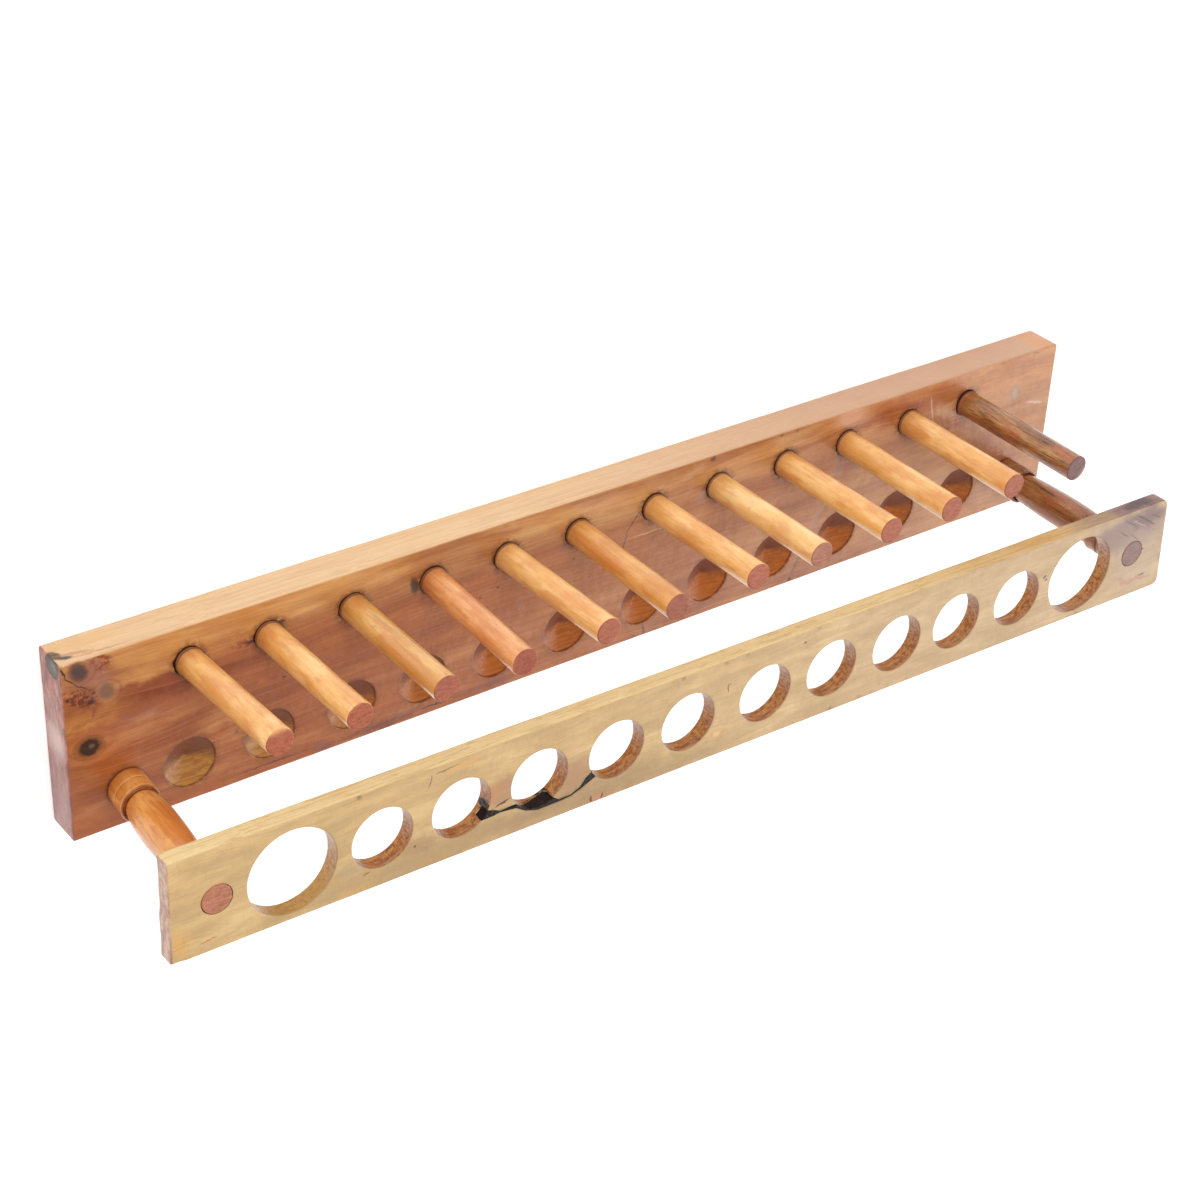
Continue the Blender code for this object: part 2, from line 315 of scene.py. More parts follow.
def circle(centre, radius, height, count, wobble=None):
    """A ring of points. The height and the wobble are functions of the place, or the height is a number."""
    points = []
    for step in range(count):
        turn = step / count * tau
        reach = radius + (wobble(turn) if wobble else 0)
        x, y = centre.x + cos(turn) * reach, centre.y + sin(turn) * reach
        points.append(Vector((x, y, height(x, y) if callable(height) else height)))
    return points


def board_sides(shell, outline, low, high, edge, top, bend, rows_between):
    """The outer wall of a board, from its underside to its top. It gives the lowest and highest rings."""
    rings = []
    rows = [(inset, drop, "low") for inset, drop in edge_rows(edge)]
    for step in range(1, rows_between):
        rows.append((0.0, step / rows_between, "side"))
    rows += [(inset, drop, "high") for inset, drop in reversed(edge_rows(edge))]
    for inset, drop, part in rows:
        points = []
        for place, inward in outline:
            spot = place + inward * inset
            if part == "low":
                z = low + drop
            elif part == "side":
                z = low + edge + (high - low - 2 * edge) * drop
            else:
                z = top(spot.x, spot.y) - drop
            points.append(bend(Vector((spot.x, spot.y, z)), inward))
        rings.append(shell.ring(points))
    shell.loft(rings)
    return rings[0], rings[-1]


# ---------------------------------------------------------------- base board

CHIP_CUTS = (  # a point on each face of the broken corner, and the direction that face looks in
    (Vector((-0.2082, 0.0333, 0.0143)), Vector((-0.62, 0.55, 0.56))),
    (Vector((-0.2100, 0.0318, 0.0128)), Vector((-0.80, 0.30, 0.52))),
)


def board_wave(x, y):
    """How far a hand-planed face dips here."""
    return -dip(x, y * 2.5, 3, 0.075, 0.06) - dip(x, y * 3, 9, 0.012, 0.012)


KNOT_DIPS = (  # centre and radius in metres, and depth in millimetres
    (-0.2020, 0.0005, 0.0034, 0.30),
    (-0.2040, 0.0290, 0.0030, 0.25),
    (-0.1950, 0.0190, 0.0025, 0.12),
)
GROOVE_WIDTH = 0.9 * MM
GROOVES = (  # ends of narrow grooves in the base's top, in metres, and depth in millimetres
    ((0.005, 0.0100), (0.040, 0.0098), 0.10),
    ((-0.08, -0.0303), (-0.068, -0.0303), 0.15),
    ((0.0865, -0.0230), (0.0815, -0.0318), 0.18),
    ((0.0960, -0.0040), (0.0912, -0.0128), 0.18),
    ((-0.15, -0.03), (-0.126, -0.03), 0.12),
)


def base_top(x, y):
    z = BASE_TOP + board_wave(x, y)
    for knot_x, knot_y, radius, depth in KNOT_DIPS:
        away = sqrt((x - knot_x) ** 2 + (y - knot_y) ** 2) / radius
        if away < 2:
            z -= depth * MM * exp(-(away**4)) * (0.6 + 0.4 * ripple(x, y, 2, 0.002))
    for (ax, ay), (bx, by), depth in GROOVES:
        start, along = Vector((ax, ay)), Vector((bx - ax, by - ay))
        share = min(1, max(0, (Vector((x, y)) - start).dot(along) / along.length_squared))
        away = (Vector((x, y)) - start - along * share).length
        z -= depth * MM * exp(-((away / GROOVE_WIDTH) ** 2))
    return z


def base_bend(point, inward):
    """Moves an edge point in a little where the edge is worn, and flattens the broken corner."""
    worn = dip(point.x, point.y, point.z * 3, 0.020, 0.12) + dip(point.x, point.y, point.z, 0.004, 0.05)
    moved = point + Vector((inward.x, inward.y, 0)) * worn
    for place, shade_side_y in CHIP_CUTS:
        over = (moved - place).dot(shade_side_y.normalized())
        if over > 0:
            rough = 0.25 * MM * ripple(moved.x, moved.y, moved.z, 0.0012)
            moved -= shade_side_y.normalized() * (over - rough)
    return moved


def blind_hole(shell, centre, radius, edge, depth_rows, count, painted_shade, deep_painted_shade, wobble=None):
    """A hole in the base's top: its rim, then a wall through (radius, depth, centre) rows, then its floor."""
    rows = []
    for inset, drop in edge_rows(edge):
        nearness = 1.0 if drop else 0.6
        height = (lambda x, y, drop=drop: base_top(x, y) - drop)
        points = circle(centre, radius + inset, height, count, wobble)
        rows.append(shell.ring(points, min(1, drop / edge), painted_shade * nearness))
    outer = rows[0]
    for row_radius, depth, row_centre in depth_rows:
        rows.append(shell.ring(circle(row_centre, row_radius, BASE_TOP - depth, count), 1.0, painted_shade))
        painted_shade = deep_painted_shade
    shell.loft(rows[::-1])
    shell.cap(rows[-1], True)
    return outer


def seat_rows(index, seat):
    """The rows down a seat: a short wall, then a cone that still shows the cutter's rings."""
    rows = [(SEAT_RADIUS, SEAT_LIP, seat)]
    for step in range(1, SEAT_STEPS):
        share = step / SEAT_STEPS
        lines = 0.035 * MM * sin(share * (34 + 5 * (index % 3))) * (1 - share)
        rows.append((SEAT_RADIUS * (1 - share), SEAT_LIP + SEAT_CONE * share**1.04 + lines, seat))
    return rows


def gape(index):
    """How far a peg's socket gapes, as a function of the turn: it does so on one side only."""
    room = PEG_ROOM.get(index, 0.35) * MM
    uneven = stray(0.6 / MM, index * 3.1, 0.5)
    return lambda turn: room * (0.7 + uneven(turn)) * max(0, cos(turn - GAPE_TURN))


def make_base(paint):
    node = "base_board"
    shell = Shell()
    rows_between = SIDE_ROWS[node]
    low, high = board_sides(
        shell, outline_of(node), BASE_LOW.z, BASE_TOP, BASE_EDGE, base_top, base_bend, rows_between
    )
    rims = []
    for index, seat in enumerate(SEATS):
        rows = seat_rows(index, seat)
        wobble = stray(0.06, index, 0.7)
        rims.append(blind_hole(shell, seat, SEAT_RADIUS, SEAT_EDGE, rows, SEAT_SIDES, 0.5, 0.05, wobble))
    for index, stick in enumerate(PEGS + POSTS):
        post = stick in POSTS
        radius = (TENON_RADIUS if post else PEG_RADIUS) + SOCKET_ROOM
        depth = POST_SOCKET if post else PEG_SOCKET
        rows = []
        for share in (0.15, 0.5, 1.0):
            rows.append((radius, depth * share, axis_at(AXES[stick], BASE_TOP - depth * share)))
        centre = axis_at(AXES[stick], BASE_TOP)
        wobble = None if post else gape(index)
        rims.append(blind_hole(shell, centre, radius, SOCKET_EDGE, rows, SOCKET_SIDES, 1.0, 1.0, wobble))
    shell.sheet(high, rims, base_top, TOP_SPACING[node], True)
    shell.sheet(low, [], lambda x, y: BASE_LOW.z, UNDER_SPACING[node], False)
    near_joints(shell, [axis_at(AXES[peg], BASE_TOP).xy for peg in PEGS])
    return shell.piece("rack_base_board", paint, node, sharp=SHARP_ANGLE)


def near_joints(shell, centres):
    """Marks the points of the face round each joint for painted shade, dark round the pegs' roots."""
    for index, point in enumerate(shell.points):
        if shell.painted_shade[index] or point.z < BASE_TOP - 0.5 * MM:
            continue
        away = min((point.xy - centre).length for centre in centres) - PEG_RADIUS
        if away < 4 * MM:
            shell.painted_shade[index] = 0.5 * exp(-away / (0.9 * MM))


# ---------------------------------------------------------------- hole plate and resin


def plate_top(x, y):
    return PLATE_HIGH.z - dip(x, y * 2.5, 23, 0.06, 0.05) - dip(x, y * 3, 29, 0.010, 0.010)


def plate_low(x, y):
    return PLATE_LOW.z + dip(x, y * 2.5, 43, 0.06, 0.04)


def plate_bend(point, inward):
    """Moves an edge point in a little where the edge is worn, and more at the rough-sawn end."""
    worn = dip(point.x, point.y, point.z * 2, 0.028, 0.10) + dip(point.x + 1, point.y, point.z, 0.003, 0.04)
    if point.x < PLATE_LOW.x + 4 * MM:
        worn += dip(0, point.y, point.z * 0.6, 0.008, 0.40)
    return point + Vector((inward.x, inward.y, 0)) * worn


def through_hole(shell, centre, radius, edge, count, wobble):
    """A hole through the plate. It gives its rims on the underside and on the top."""
    rings = []

    def rim(inset, drop, height):
        points = circle(centre, radius + inset, height, count, wobble)
        rings.append(shell.ring(points, min(1, drop / edge)))

    for inset, drop in edge_rows(edge):
        rim(inset, drop, lambda x, y, drop=drop: plate_low(x, y) + drop)
    for step in range(1, HOLE_STEPS):
        height = PLATE_LOW.z + edge + (PLATE_HIGH.z - PLATE_LOW.z - 2 * edge) * step / HOLE_STEPS
        chatter = (lambda turn, step=step: wobble(turn) + 0.018 * MM * ripple(turn * 3, step, centre.x * 90, 1))
        rings.append(shell.ring(circle(centre, radius, height, count, chatter), 1.0))
    for inset, drop in reversed(edge_rows(edge)):
        rim(inset, drop, lambda x, y, drop=drop: plate_top(x, y) - drop)
    shell.loft(rings[::-1])
    return rings[0], rings[-1]


def make_plate(paint):
    node = "hole_plate"
    shell = Shell()
    rows_between = SIDE_ROWS[node]
    low, high = board_sides(
        shell, outline_of(node), PLATE_LOW.z, PLATE_HIGH.z, PLATE_EDGE, plate_top, plate_bend, rows_between
    )
    pairs = []
    for index, (centre, radius) in enumerate(HOLES):
        wobble = stray(0.07, index * 2.3, 0.6)
        pairs.append(through_hole(shell, centre, radius, HOLE_EDGE, HOLE_SIDES, wobble))
    for post in POSTS:
        centre = axis_at(AXES[post], PLATE_HIGH.z).xy
        wobble = (lambda turn, uneven=stray(0.08, len(post), 0.5): abs(uneven(turn)))
        radius = TENON_RADIUS + MORTISE_ROOM[post]
        pairs.append(through_hole(shell, centre, radius, MORTISE_EDGE, SOCKET_SIDES, wobble))
    shell.sheet(high, [rims[1] for rims in pairs], plate_top, TOP_SPACING[node], True)
    shell.sheet(low, [rims[0] for rims in pairs], plate_low, UNDER_SPACING[node], False)
    plate = shell.piece("rack_hole_plate", paint, node, sharp=SHARP_ANGLE)
    cut_groove(plate)
    return plate


def hole_round(point, margin):
    """The hole whose wall this point is at, or nothing."""
    for centre, radius in HOLES:
        if abs((point.xy - centre).length - radius) < margin:
            return centre, radius
    return None


def resin_bmesh(grow, wall_reach, top_rise):
    """The resin's solid grown by a little, with its ends in the holes moved to this reach from their walls."""
    bm = bmesh.new()
    bm.from_mesh(frame["nodes"]["resin_fill"].data)
    bmesh.ops.remove_doubles(bm, verts=bm.verts, dist=1e-6)
    bm.normal_update()
    for vertex in bm.verts:
        at_wall = hole_round(vertex.co, 0.8 * MM)
        on_top = vertex.co.z > PLATE_HIGH.z - 0.2 * MM
        spread = vertex.normal.copy()
        spread.z = min(0, spread.z)
        vertex.co += spread * grow
        if at_wall:
            centre, radius = at_wall
            out = vertex.co.xy - centre
            vertex.co.xy = centre + out.normalized() * (radius + wall_reach)
        if on_top:
            vertex.co.z = PLATE_HIGH.z + top_rise
    return bm


def cut_groove(plate):
    """Cuts the crack that the resin fills, a little wider than the resin and open into the holes."""
    cutter_mesh = bpy.data.meshes.new("groove")
    bm = resin_bmesh(0.05 * MM, -1.2 * MM, 1.0 * MM)
    bm.to_mesh(cutter_mesh)
    bm.free()
    cutter = add_object("groove", cutter_mesh)
    cut = plate.modifiers.new("groove", "BOOLEAN")
    cut.operation = "DIFFERENCE"
    cut.solver = "EXACT"
    cut.object = cutter
    apply_modifiers(plate)
    plate.data.set_sharp_from_angle(angle=radians(SHARP_ANGLE))
    bpy.data.objects.remove(cutter)


def apply_modifiers(obj):
    graph = bpy.context.evaluated_depsgraph_get()
    applied = bpy.data.meshes.new_from_object(obj.evaluated_get(graph))
    obj.modifiers.clear()
    obj.data = applied


def make_resin(paint):
    mesh = bpy.data.meshes.new("rack_resin_fill")
    bm = resin_bmesh(0.04 * MM, 0.0, -0.04 * MM)
    bm.to_mesh(mesh)
    bm.free()
    piece = finish_piece("rack_resin_fill", mesh, paint, "resin_fill")
    remesh = piece.modifiers.new("fine", "REMESH")
    remesh.mode = "VOXEL"
    remesh.voxel_size = 0.20 * MM
    smooth = piece.modifiers.new("soft", "SMOOTH")
    smooth.iterations = 2
    apply_modifiers(piece)
    moved = []
    for vertex in piece.data.vertices:
        place = vertex.co
        moved.extend(place + vertex.normal * 0.05 * MM * ripple(*place, 0.0016))
    piece.data.vertices.foreach_set("co", moved)
    piece.data.shade_smooth()
    return piece


# ---------------------------------------------------------------- pegs and posts


def turned_piece(name, node, paint, profile, frames, count, seed):
    """A turned solid: each (radius, distance) row of the profile is a ring in the frame at that distance."""
    shell = Shell()
    rings = []
    for radius, distance, wobble in profile:
        place = frames(distance)
        points = []
        for step in range(count):
            turn = step / count * tau
            swing = wobble * ripple(cos(turn) * 1.3, sin(turn) * 1.3, distance / 0.016 + seed, 1)
            reach = radius * (1 + swing)
            points.append(place @ Vector((cos(turn) * reach, sin(turn) * reach, 0)))
        rings.append(shell.ring(points))
    shell.loft(rings)
    shell.cap(rings[0], False)
    shell.cap(rings[-1], True)
    return shell.piece(name, paint, node, sharp=60)


def end_rows(radius, head, edge, wobble):
    """The rounded edge and the disc at the top of a peg or a tenon, out to in."""
    rows = []
    for step in range(1, EDGE_STEPS + 1):
        turn = step / EDGE_STEPS * pi / 2
        rows.append((radius - edge * (1 - cos(turn)), head - edge * (1 - sin(turn)), wobble))
    for share in (0.86, 0.66, 0.45, 0.22):
        rows.append((radius * share, head - 0.02 * MM * (1 - share), wobble))
    return rows


def peg_frames(axis):
    foot, head = axis
    up = (head - foot).normalized()
    side = Vector((1, 0, 0))
    side = (side - up * side.dot(up)).normalized()
    turn = Matrix((side, up.cross(side), up)).transposed().to_4x4()
    return lambda distance: Matrix.Translation(foot + up * distance) @ turn


BEAD_SHAPE = (  # varnish gathered at a peg's root: how far it stands out and how high, in millimetres
    (-0.02, -0.50), (0.04, -0.15), (0.24, -0.05), (0.34, 0.12), (0.36, 0.28), (0.30, 0.45), (0.16, 0.62),
    (0.02, 0.85),
)


def make_peg(index, node, paint):
    axis = AXES[node]
    length = (axis[1] - axis[0]).length
    root = length * (BASE_TOP - axis[0].z) / (axis[1].z - axis[0].z)
    edge = (0.30 + 0.12 * (index % 3)) * MM
    profile = [(PEG_RADIUS * 0.93, 0.0, 0.0), (PEG_RADIUS, 0.4 * MM, 0.0)]
    for step in range(1, PEG_STEPS):
        distance = length * step / PEG_STEPS
        radius = PEG_RADIUS * (1 + 0.006 * ripple(distance, index, 0, 0.02) - 0.004)
        if abs(distance - root) > length / PEG_STEPS:
            profile.append((radius, distance, 0.008))
    bead = [(PEG_RADIUS + swell * MM, root + rise * MM, 0.010) for swell, rise in BEAD_SHAPE]
    profile = sorted(profile + bead, key=lambda row: row[1])
    profile.append((PEG_RADIUS * 0.996, length - edge, 0.008))
    profile += end_rows(PEG_RADIUS * 0.996, length, edge, 0.008)
    return turned_piece(f"rack_{node}", node, paint, profile, peg_frames(axis), PEG_SIDES, index * 7.3)


COLLAR_SHAPE = (  # share of the collar's height from its board, and millimetres under its radius
    (0.00, 0.55), (0.02, 0.30), (0.06, 0.18), (0.25, 0.12), (0.42, 0.15), (0.455, 0.20), (0.475, 0.45),
    (0.490, 0.62), (0.505, 0.45), (0.525, 0.14), (0.56, 0.08), (0.70, 0.12), (0.80, 0.18), (0.835, 0.10),
    (0.87, 0.02), (0.905, 0.00), (0.94, 0.03), (0.97, 0.14), (0.99, 0.32), (1.00, 0.60), (0.99, 0.85),
    (0.96, 0.98), (0.90, 1.10), (0.86, 1.30),
)


def collar_rows(end, start):
    """A turned collar from its end on the board to its rolled lip, which stands free of the shank."""
    rows = []
    for share, under in COLLAR_SHAPE:
        rows.append((COLLAR_RADIUS - under * MM, end + (start - end) * share, 0.003))
    return rows


def make_post(node, paint):
    foot, head = AXES[node]
    base_rise = BASE_TOP - foot.z
    collar_end = base_rise + 0.05 * MM
    shoulder = PLATE_LOW.z - foot.z - 0.1 * MM
    flush = head.z - foot.z - 0.03 * MM
    tip_radius, tip_edge = TENON_RADIUS - 0.05 * MM, 0.25 * MM
    profile = [(TENON_RADIUS * 0.95, 0.0, 0), (TENON_RADIUS, 0.5 * MM, 0), (TENON_RADIUS, collar_end, 0)]
    low, high = base_rise + COLLAR_HEIGHT, shoulder - COLLAR_HEIGHT
    profile += collar_rows(collar_end, low)
    swell = SHANK_SWELL[node]
    for step in range(POST_STEPS + 1):
        share = step / POST_STEPS
        nearness = share / swell if share < swell else (1 - share) / (1 - swell)
        bulge = sin(nearness * pi / 2) ** SHANK_FULLNESS
        radius = SHANK_NECK + (SHANK_RADIUS[node] - SHANK_NECK) * bulge
        profile.append((radius, low + (high - low) * share, 0.006))
    profile += reversed(collar_rows(shoulder, high))
    profile += [(TENON_RADIUS, shoulder, 0), (tip_radius, flush - tip_edge, 0.004)]
    profile += end_rows(tip_radius, flush, tip_edge, 0.004)
    rise = head - foot
    frames = (lambda distance: Matrix.Translation(foot + rise * (distance / rise.z)))
    return turned_piece(f"rack_{node}", node, paint, profile, frames, POST_SIDES, len(node))


# ---------------------------------------------------------------- materials


def colour(code):
    """A six-digit screen colour as the linear colour that shaders take."""
    values = [int(code[i:i + 2], 16) / 255 for i in (0, 2, 4)]
    return tuple(v / 12.92 if v <= 0.04045 else ((v + 0.055) / 1.055) ** 2.4 for v in values) + (1.0,)


class Graph:
    """Adds a material's nodes. Each call gives a socket, and takes sockets or plain values."""

    def __init__(self, name):
        self.material = bpy.data.materials.new(name)
        self.material.use_nodes = True
        self.tree = self.material.node_tree
        self.shader = self.tree.nodes["Principled BSDF"]
        place = self.add("ShaderNodeTexCoord").outputs["Object"]
        self.place = self.vector("SCALE", place, scale=1 / MM)
        self.x, self.y, self.z = self.add("ShaderNodeSeparateXYZ", {0: self.place}).outputs

    def add(self, kind, values=None, **settings):
        node = self.tree.nodes.new(kind)
        for key, value in settings.items():
            setattr(node, key, value)
        for key, value in (values or {}).items():
            self.put(node.inputs[key], value)
        return node

    def put(self, socket, value):
        if isinstance(value, str):
            value = colour(value)
        if isinstance(value, bpy.types.NodeSocket):
            self.tree.links.new(value, socket)
        else:
            socket.default_value = value

    def math(self, operation, a, b=0.0):
        return self.add("ShaderNodeMath", {0: a, 1: b}, operation=operation).outputs[0]

    def times(self, a, b):
        return self.math("MULTIPLY", a, b)

    def plus(self, total, *others):
        for other in others:
            total = self.math("ADD", total, other)
        return total

    def sway(self, value, reach):
        """A noise's value made into a move of up to half this reach to either side."""
        return self.times(self.math("SUBTRACT", value, 0.5), reach)

    def vector(self, operation, a, b=(0, 0, 0), scale=1.0):
        node = self.add("ShaderNodeVectorMath", {0: a, 1: b, 3: scale}, operation=operation)
        return node.outputs["Value" if operation == "LENGTH" else "Vector"]

    def point(self, x, y, z):
        return self.add("ShaderNodeCombineXYZ", {0: x, 1: y, 2: z}).outputs[0]

    def stretch(self, where, scale, turn=0.0):
        values = {0: where, "Rotation": (0, 0, radians(turn)), "Scale": scale}
        return self.add("ShaderNodeMapping", values).outputs[0]

    def noise(self, scale, detail=2.0, rough=0.5, turn=0.0, where=None):
        """Noise with this many features to the millimetre: one number, or one for each axis."""
        if where is None:
            where = self.place
        if isinstance(scale, tuple):
            where, scale = self.stretch(where, scale, turn), 1.0
        values = {"Vector": where, "Scale": scale, "Detail": detail, "Roughness": rough}
        return self.add("ShaderNodeTexNoise", values).outputs[0]

    def fade(self, value, start, end, low=0.0, high=1.0):
        """From low at start to high at end, smoothly. The start may be the larger of the two."""
        if start > end:
            start, end, low, high = end, start, high, low
        values = {0: value, "From Min": start, "From Max": end, "To Min": low, "To Max": high}
        return self.add("ShaderNodeMapRange", values, interpolation_type="SMOOTHSTEP").outputs[0]

    def mix(self, share, a, b, blend="MIX"):
        node = self.add("ShaderNodeMix", data_type="RGBA", blend_type=blend)
        for socket, value in ((node.inputs[0], share), (node.inputs[6], a), (node.inputs[7], b)):
            self.put(socket, value)
        return node.outputs[2]

    def layers(self, paint, rows):
        """Paints tones in turn: a value, where the tone starts and is full, its strength and the tone."""
        for value, start, full, strength, tone, *blend in rows:
            paint = self.mix(self.fade(value, start, full, 0, strength), paint, tone, *blend)
        return paint

    def between(self, share, a, b):
        node = self.add("ShaderNodeMix", {0: share, 2: a, 3: b}, data_type="FLOAT")
        return node.outputs[0]

    def mark(self, label):
        return self.add("ShaderNodeAttribute", attribute_name=label).outputs["Fac"]

    def blob(self, where, middle, half, turn, soft, strength=1.0):
        """Strength inside an ellipsoid and nothing outside it, with a border as wide as soft says."""
        reach = 1 + soft
        size = tuple(reach * value for value in half)
        values = {0: where, "Location": middle, "Rotation": (0, 0, radians(turn)), "Scale": size}
        inside = self.add("ShaderNodeMapping", values, vector_type="TEXTURE").outputs[0]
        ball = self.add("ShaderNodeTexGradient", {0: inside}, gradient_type="SPHERICAL").outputs["Fac"]
        return self.fade(ball, 0.0, 2 * soft / reach, 0.0, strength)

    def spots(self, paint, where, rows, grit=None):
        """Paints soft ellipses from the rows of a table below. Grit breaks them up."""
        for x, y, half_x, half_y, turn, tone, strength, soft in rows:
            share = self.blob(where, (x, y, 0), (half_x, half_y, 1e4), turn, soft, strength)
            if grit:
                share = self.times(share, grit)
            paint = self.mix(share, paint, tone)
        return paint

    def surface(self, paint, roughness, height, relief, coat, coat_roughness):
        """Joins colour, roughness and relief to the shader. The varnish is the coat."""
        bump = self.add("ShaderNodeBump", {"Height": height, "Strength": 1.0, "Distance": relief}).outputs[0]
        values = {
            "Base Color": paint, "Roughness": roughness, "Normal": bump, "Coat Normal": bump,
            "Specular IOR Level": 0.15, "Coat Weight": coat, "Coat Roughness": coat_roughness,
        }
        for label, value in values.items():
            self.put(self.shader.inputs[label], value)
        return self.material


BASE_KNOTS = (  # centre and radius of the knots that the grain runs round
    (-202.0, 0.5, 3.6), (-204.0, 29.0, 3.0), (-195.0, 19.0, 2.2),
)
# Stains on the base, and one painted reflection.
BASE_STAINS_AND_REFLECTION = (  # centre, half sizes, turn, colour, strength and softness, in millimetres and degrees
    (-172, 14, 23, 4.8, -4, "86390F", 0.85, 0.5),
    (-182, 15.5, 9, 3.5, -8, "7E3410", 0.55, 0.6),
    (-140, 12.5, 34, 3.2, 1, "96522F", 0.5, 0.7),
    (-184, 5.5, 9, 2.2, 0, "8C5446", 0.55, 0.7),
    (-194, -7, 7, 7.5, -35, "A8581E", 0.65, 0.5),
    (-182, 21, 14, 3, -4, "D89E5A", 0.6, 0.6),
    (-201, 11.5, 12, 4, 8, "D09448", 0.8, 0.6),
    (-204, 9, 10, 0.7, 10, "955A34", 0.55, 0.6),
    (-200, 25.5, 9, 7.5, -30, "A46540", 0.8, 0.35),
    (-199.5, 27.2, 6.6, 4.6, -32, "A06A54", 0.7, 0.35),
    (-204, 19, 6.5, 4.5, -25, "884420", 0.65, 0.5),
    (-190, 24, 5, 2.5, -30, "94522A", 0.45, 0.6),
    (-182, -20, 24, 8, 0, "A8704C", 0.45, 0.7),
    (133, 27.5, 27, 6.5, 0, "AC5F34", 0.75, 0.35),
    (130, 27, 12, 3, 0, "944A26", 0.55, 0.6),
    (106, 29, 7, 4, 0, "D6A48A", 0.6, 0.6),
    # painted reflection: a dark band where the varnish mirrors the right post
    (168, 4, 27, 5.2, -33, "98532C", 0.65, 0.4),
    (154, 21, 5, 3, -10, "E0C4AC", 0.18, 0.6),
    (-155, -5, 9, 4, 0, "DCA464", 0.5, 0.6),
    (-120, 28, 18, 4.5, 0, "E0B070", 0.45, 0.6),
    (-5, 30, 14, 4, 0, "D8A880", 0.45, 0.6),
    (-16, 10, 26, 4.5, 0, "A0683E", 0.4, 0.6),
    (130, 10, 24, 5, 0, "A46A44", 0.25, 0.6),
    (102, 11, 1.8, 4, 0, "94857C", 0.5, 0.6),
    (38, 18, 3, 3.5, 0, "A39488", 0.35, 0.6),
    (33, 28, 5, 2, 15, "E6C8A4", 0.4, 0.7),
    (-22, 15.5, 2.6, 2, 0, "6A5A58", 0.6, 0.5),
    (-53, -31, 9, 1.6, 0, "7A4A4C", 0.6, 0.6),
    (-95, -30.5, 14, 2, 3, "6E3E34", 0.75, 0.6),
    (-118, -31, 3.5, 2.4, 0, "704852", 0.55, 0.5),
    (-60, -12, 60, 3.5, 2, "C08454", 0.35, 0.8),
    (60, -14, 55, 3, -1, "CC9468", 0.3, 0.8),
)
BASE_CRINKLES = (  # rough, broken-up bark and burr
    (-202.8, 19.2, 6.2, 3.2, -20, "622812", 0.97, 0.35),
    (-207.5, 22, 3.4, 1.6, 25, "8A3E20", 0.8, 0.4),
    (-196.2, 30.3, 3.4, 3, -25, "8A3E1E", 0.97, 0.35),
    (-199.5, 13, 0.8, 2.8, -8, "8A4626", 0.8, 0.5),
    (-146, 19.6, 5.5, 1.6, -6, "7E3A26", 0.85, 0.5),
    (-134.5, 24, 4, 1.6, -20, "7E4226", 0.7, 0.5),
    (-150, 23, 3.5, 2.5, 0, "B06A3C", 0.6, 0.5),
)
BASE_MARKS = (  # knots, cracks, specks and scratches
    (-202, 0.5, 4.9, 4.2, 0, "6A3A1C", 0.7, 0.3),
    (-202, 0.5, 3.5, 3, 0, "2A1B16", 0.95, 0.2),
    (-201.2, 0.7, 1, 0.9, 0, "6E5A4A", 0.6, 0.5),
    (-204, 29, 3.2, 4.1, 20, "7A4228", 0.75, 0.3),
    (-203.6, 28.8, 2.3, 3.2, 38, "46383A", 0.9, 0.5),
    (-195, 19, 3.4, 3.9, 20, "B8845C", 0.35, 0.35),
    (-195, 19, 2.5, 3, 20, "745240", 0.85, 0.4),
    (-200.5, 17, 0.8, 0.9, 0, "2E1512", 0.85, 0.4),
    (-208, 20, 0.5, 0.6, 0, "2E1512", 0.8, 0.4),
    (-208.6, 30, 0.26, 2.3, 20, "1F1410", 0.92, 0.5),
    (-206.6, 26.4, 0.24, 2.6, 44, "2A1810", 0.9, 0.5),
    (-203.2, 23.4, 0.2, 2.4, 60, "3A1E14", 0.85, 0.5),
    (-209.4, 32.2, 0.5, 1, 0, "2A2322", 0.85, 0.4),
    (-144.5, 19.4, 2.4, 0.6, -6, "4A241E", 0.85, 0.5),
    (-133, 23.4, 1.4, 0.5, -20, "3A1C18", 0.85, 0.5),
    (-83.4, 20, 1.5, 3.4, 10, "3E3626", 0.9, 0.45),
    (-133, 1.8, 0.7, 0.35, 10, "3A2422", 0.8, 0.5),
    (-141, 3, 1.5, 1.1, 0, "C87028", 0.45, 0.6),
    (-151, -13, 0.8, 0.5, 0, "6A5650", 0.7, 0.5),
    (-18.5, 9.5, 0.6, 0.4, 0, "4A302A", 0.75, 0.5),
    (-50, 8.5, 0.6, 0.5, 0, "4A302A", 0.75, 0.5),
    (-57, 6.5, 0.6, 0.5, 0, "4A302A", 0.75, 0.5),
    (41, 31.5, 1.3, 0.8, 0, "5A241C", 0.85, 0.5),
    (-137, -30, 13, 0.28, 0, "5A2E28", 0.75, 0.6),
    (-74, -30.3, 7, 0.4, 0, "3A3032", 0.85, 0.5),
    (93.5, -8.5, 0.5, 5.2, -28, "8A7C74", 0.75, 0.4),
    (84, -27.5, 0.5, 5.4, -28, "6E5C54", 0.8, 0.4),
    (14, -30.5, 0.4, 2.8, 10, "5A3A34", 0.75, 0.5),
    (6.6, 16.5, 0.3, 4.4, -38, "5A3428", 0.75, 0.5),
    (3.4, 9.6, 0.3, 4.2, -14, "5A3428", 0.75, 0.5),
    (22, 10, 18, 0.3, 0, "E0B288", 0.5, 0.5),
    (190, 17, 2.8, 3.5, 0, "9C8072", 0.55, 0.35),
    (190, 17, 1.6, 2.2, 0, "B6968A", 0.5, 0.45),
    (201.5, 10, 4, 0.5, -16, "E6D0C0", 0.4, 0.5),
    (146, 22.5, 0.4, 4.6, 12, "E4CDBB", 0.5, 0.5),
)
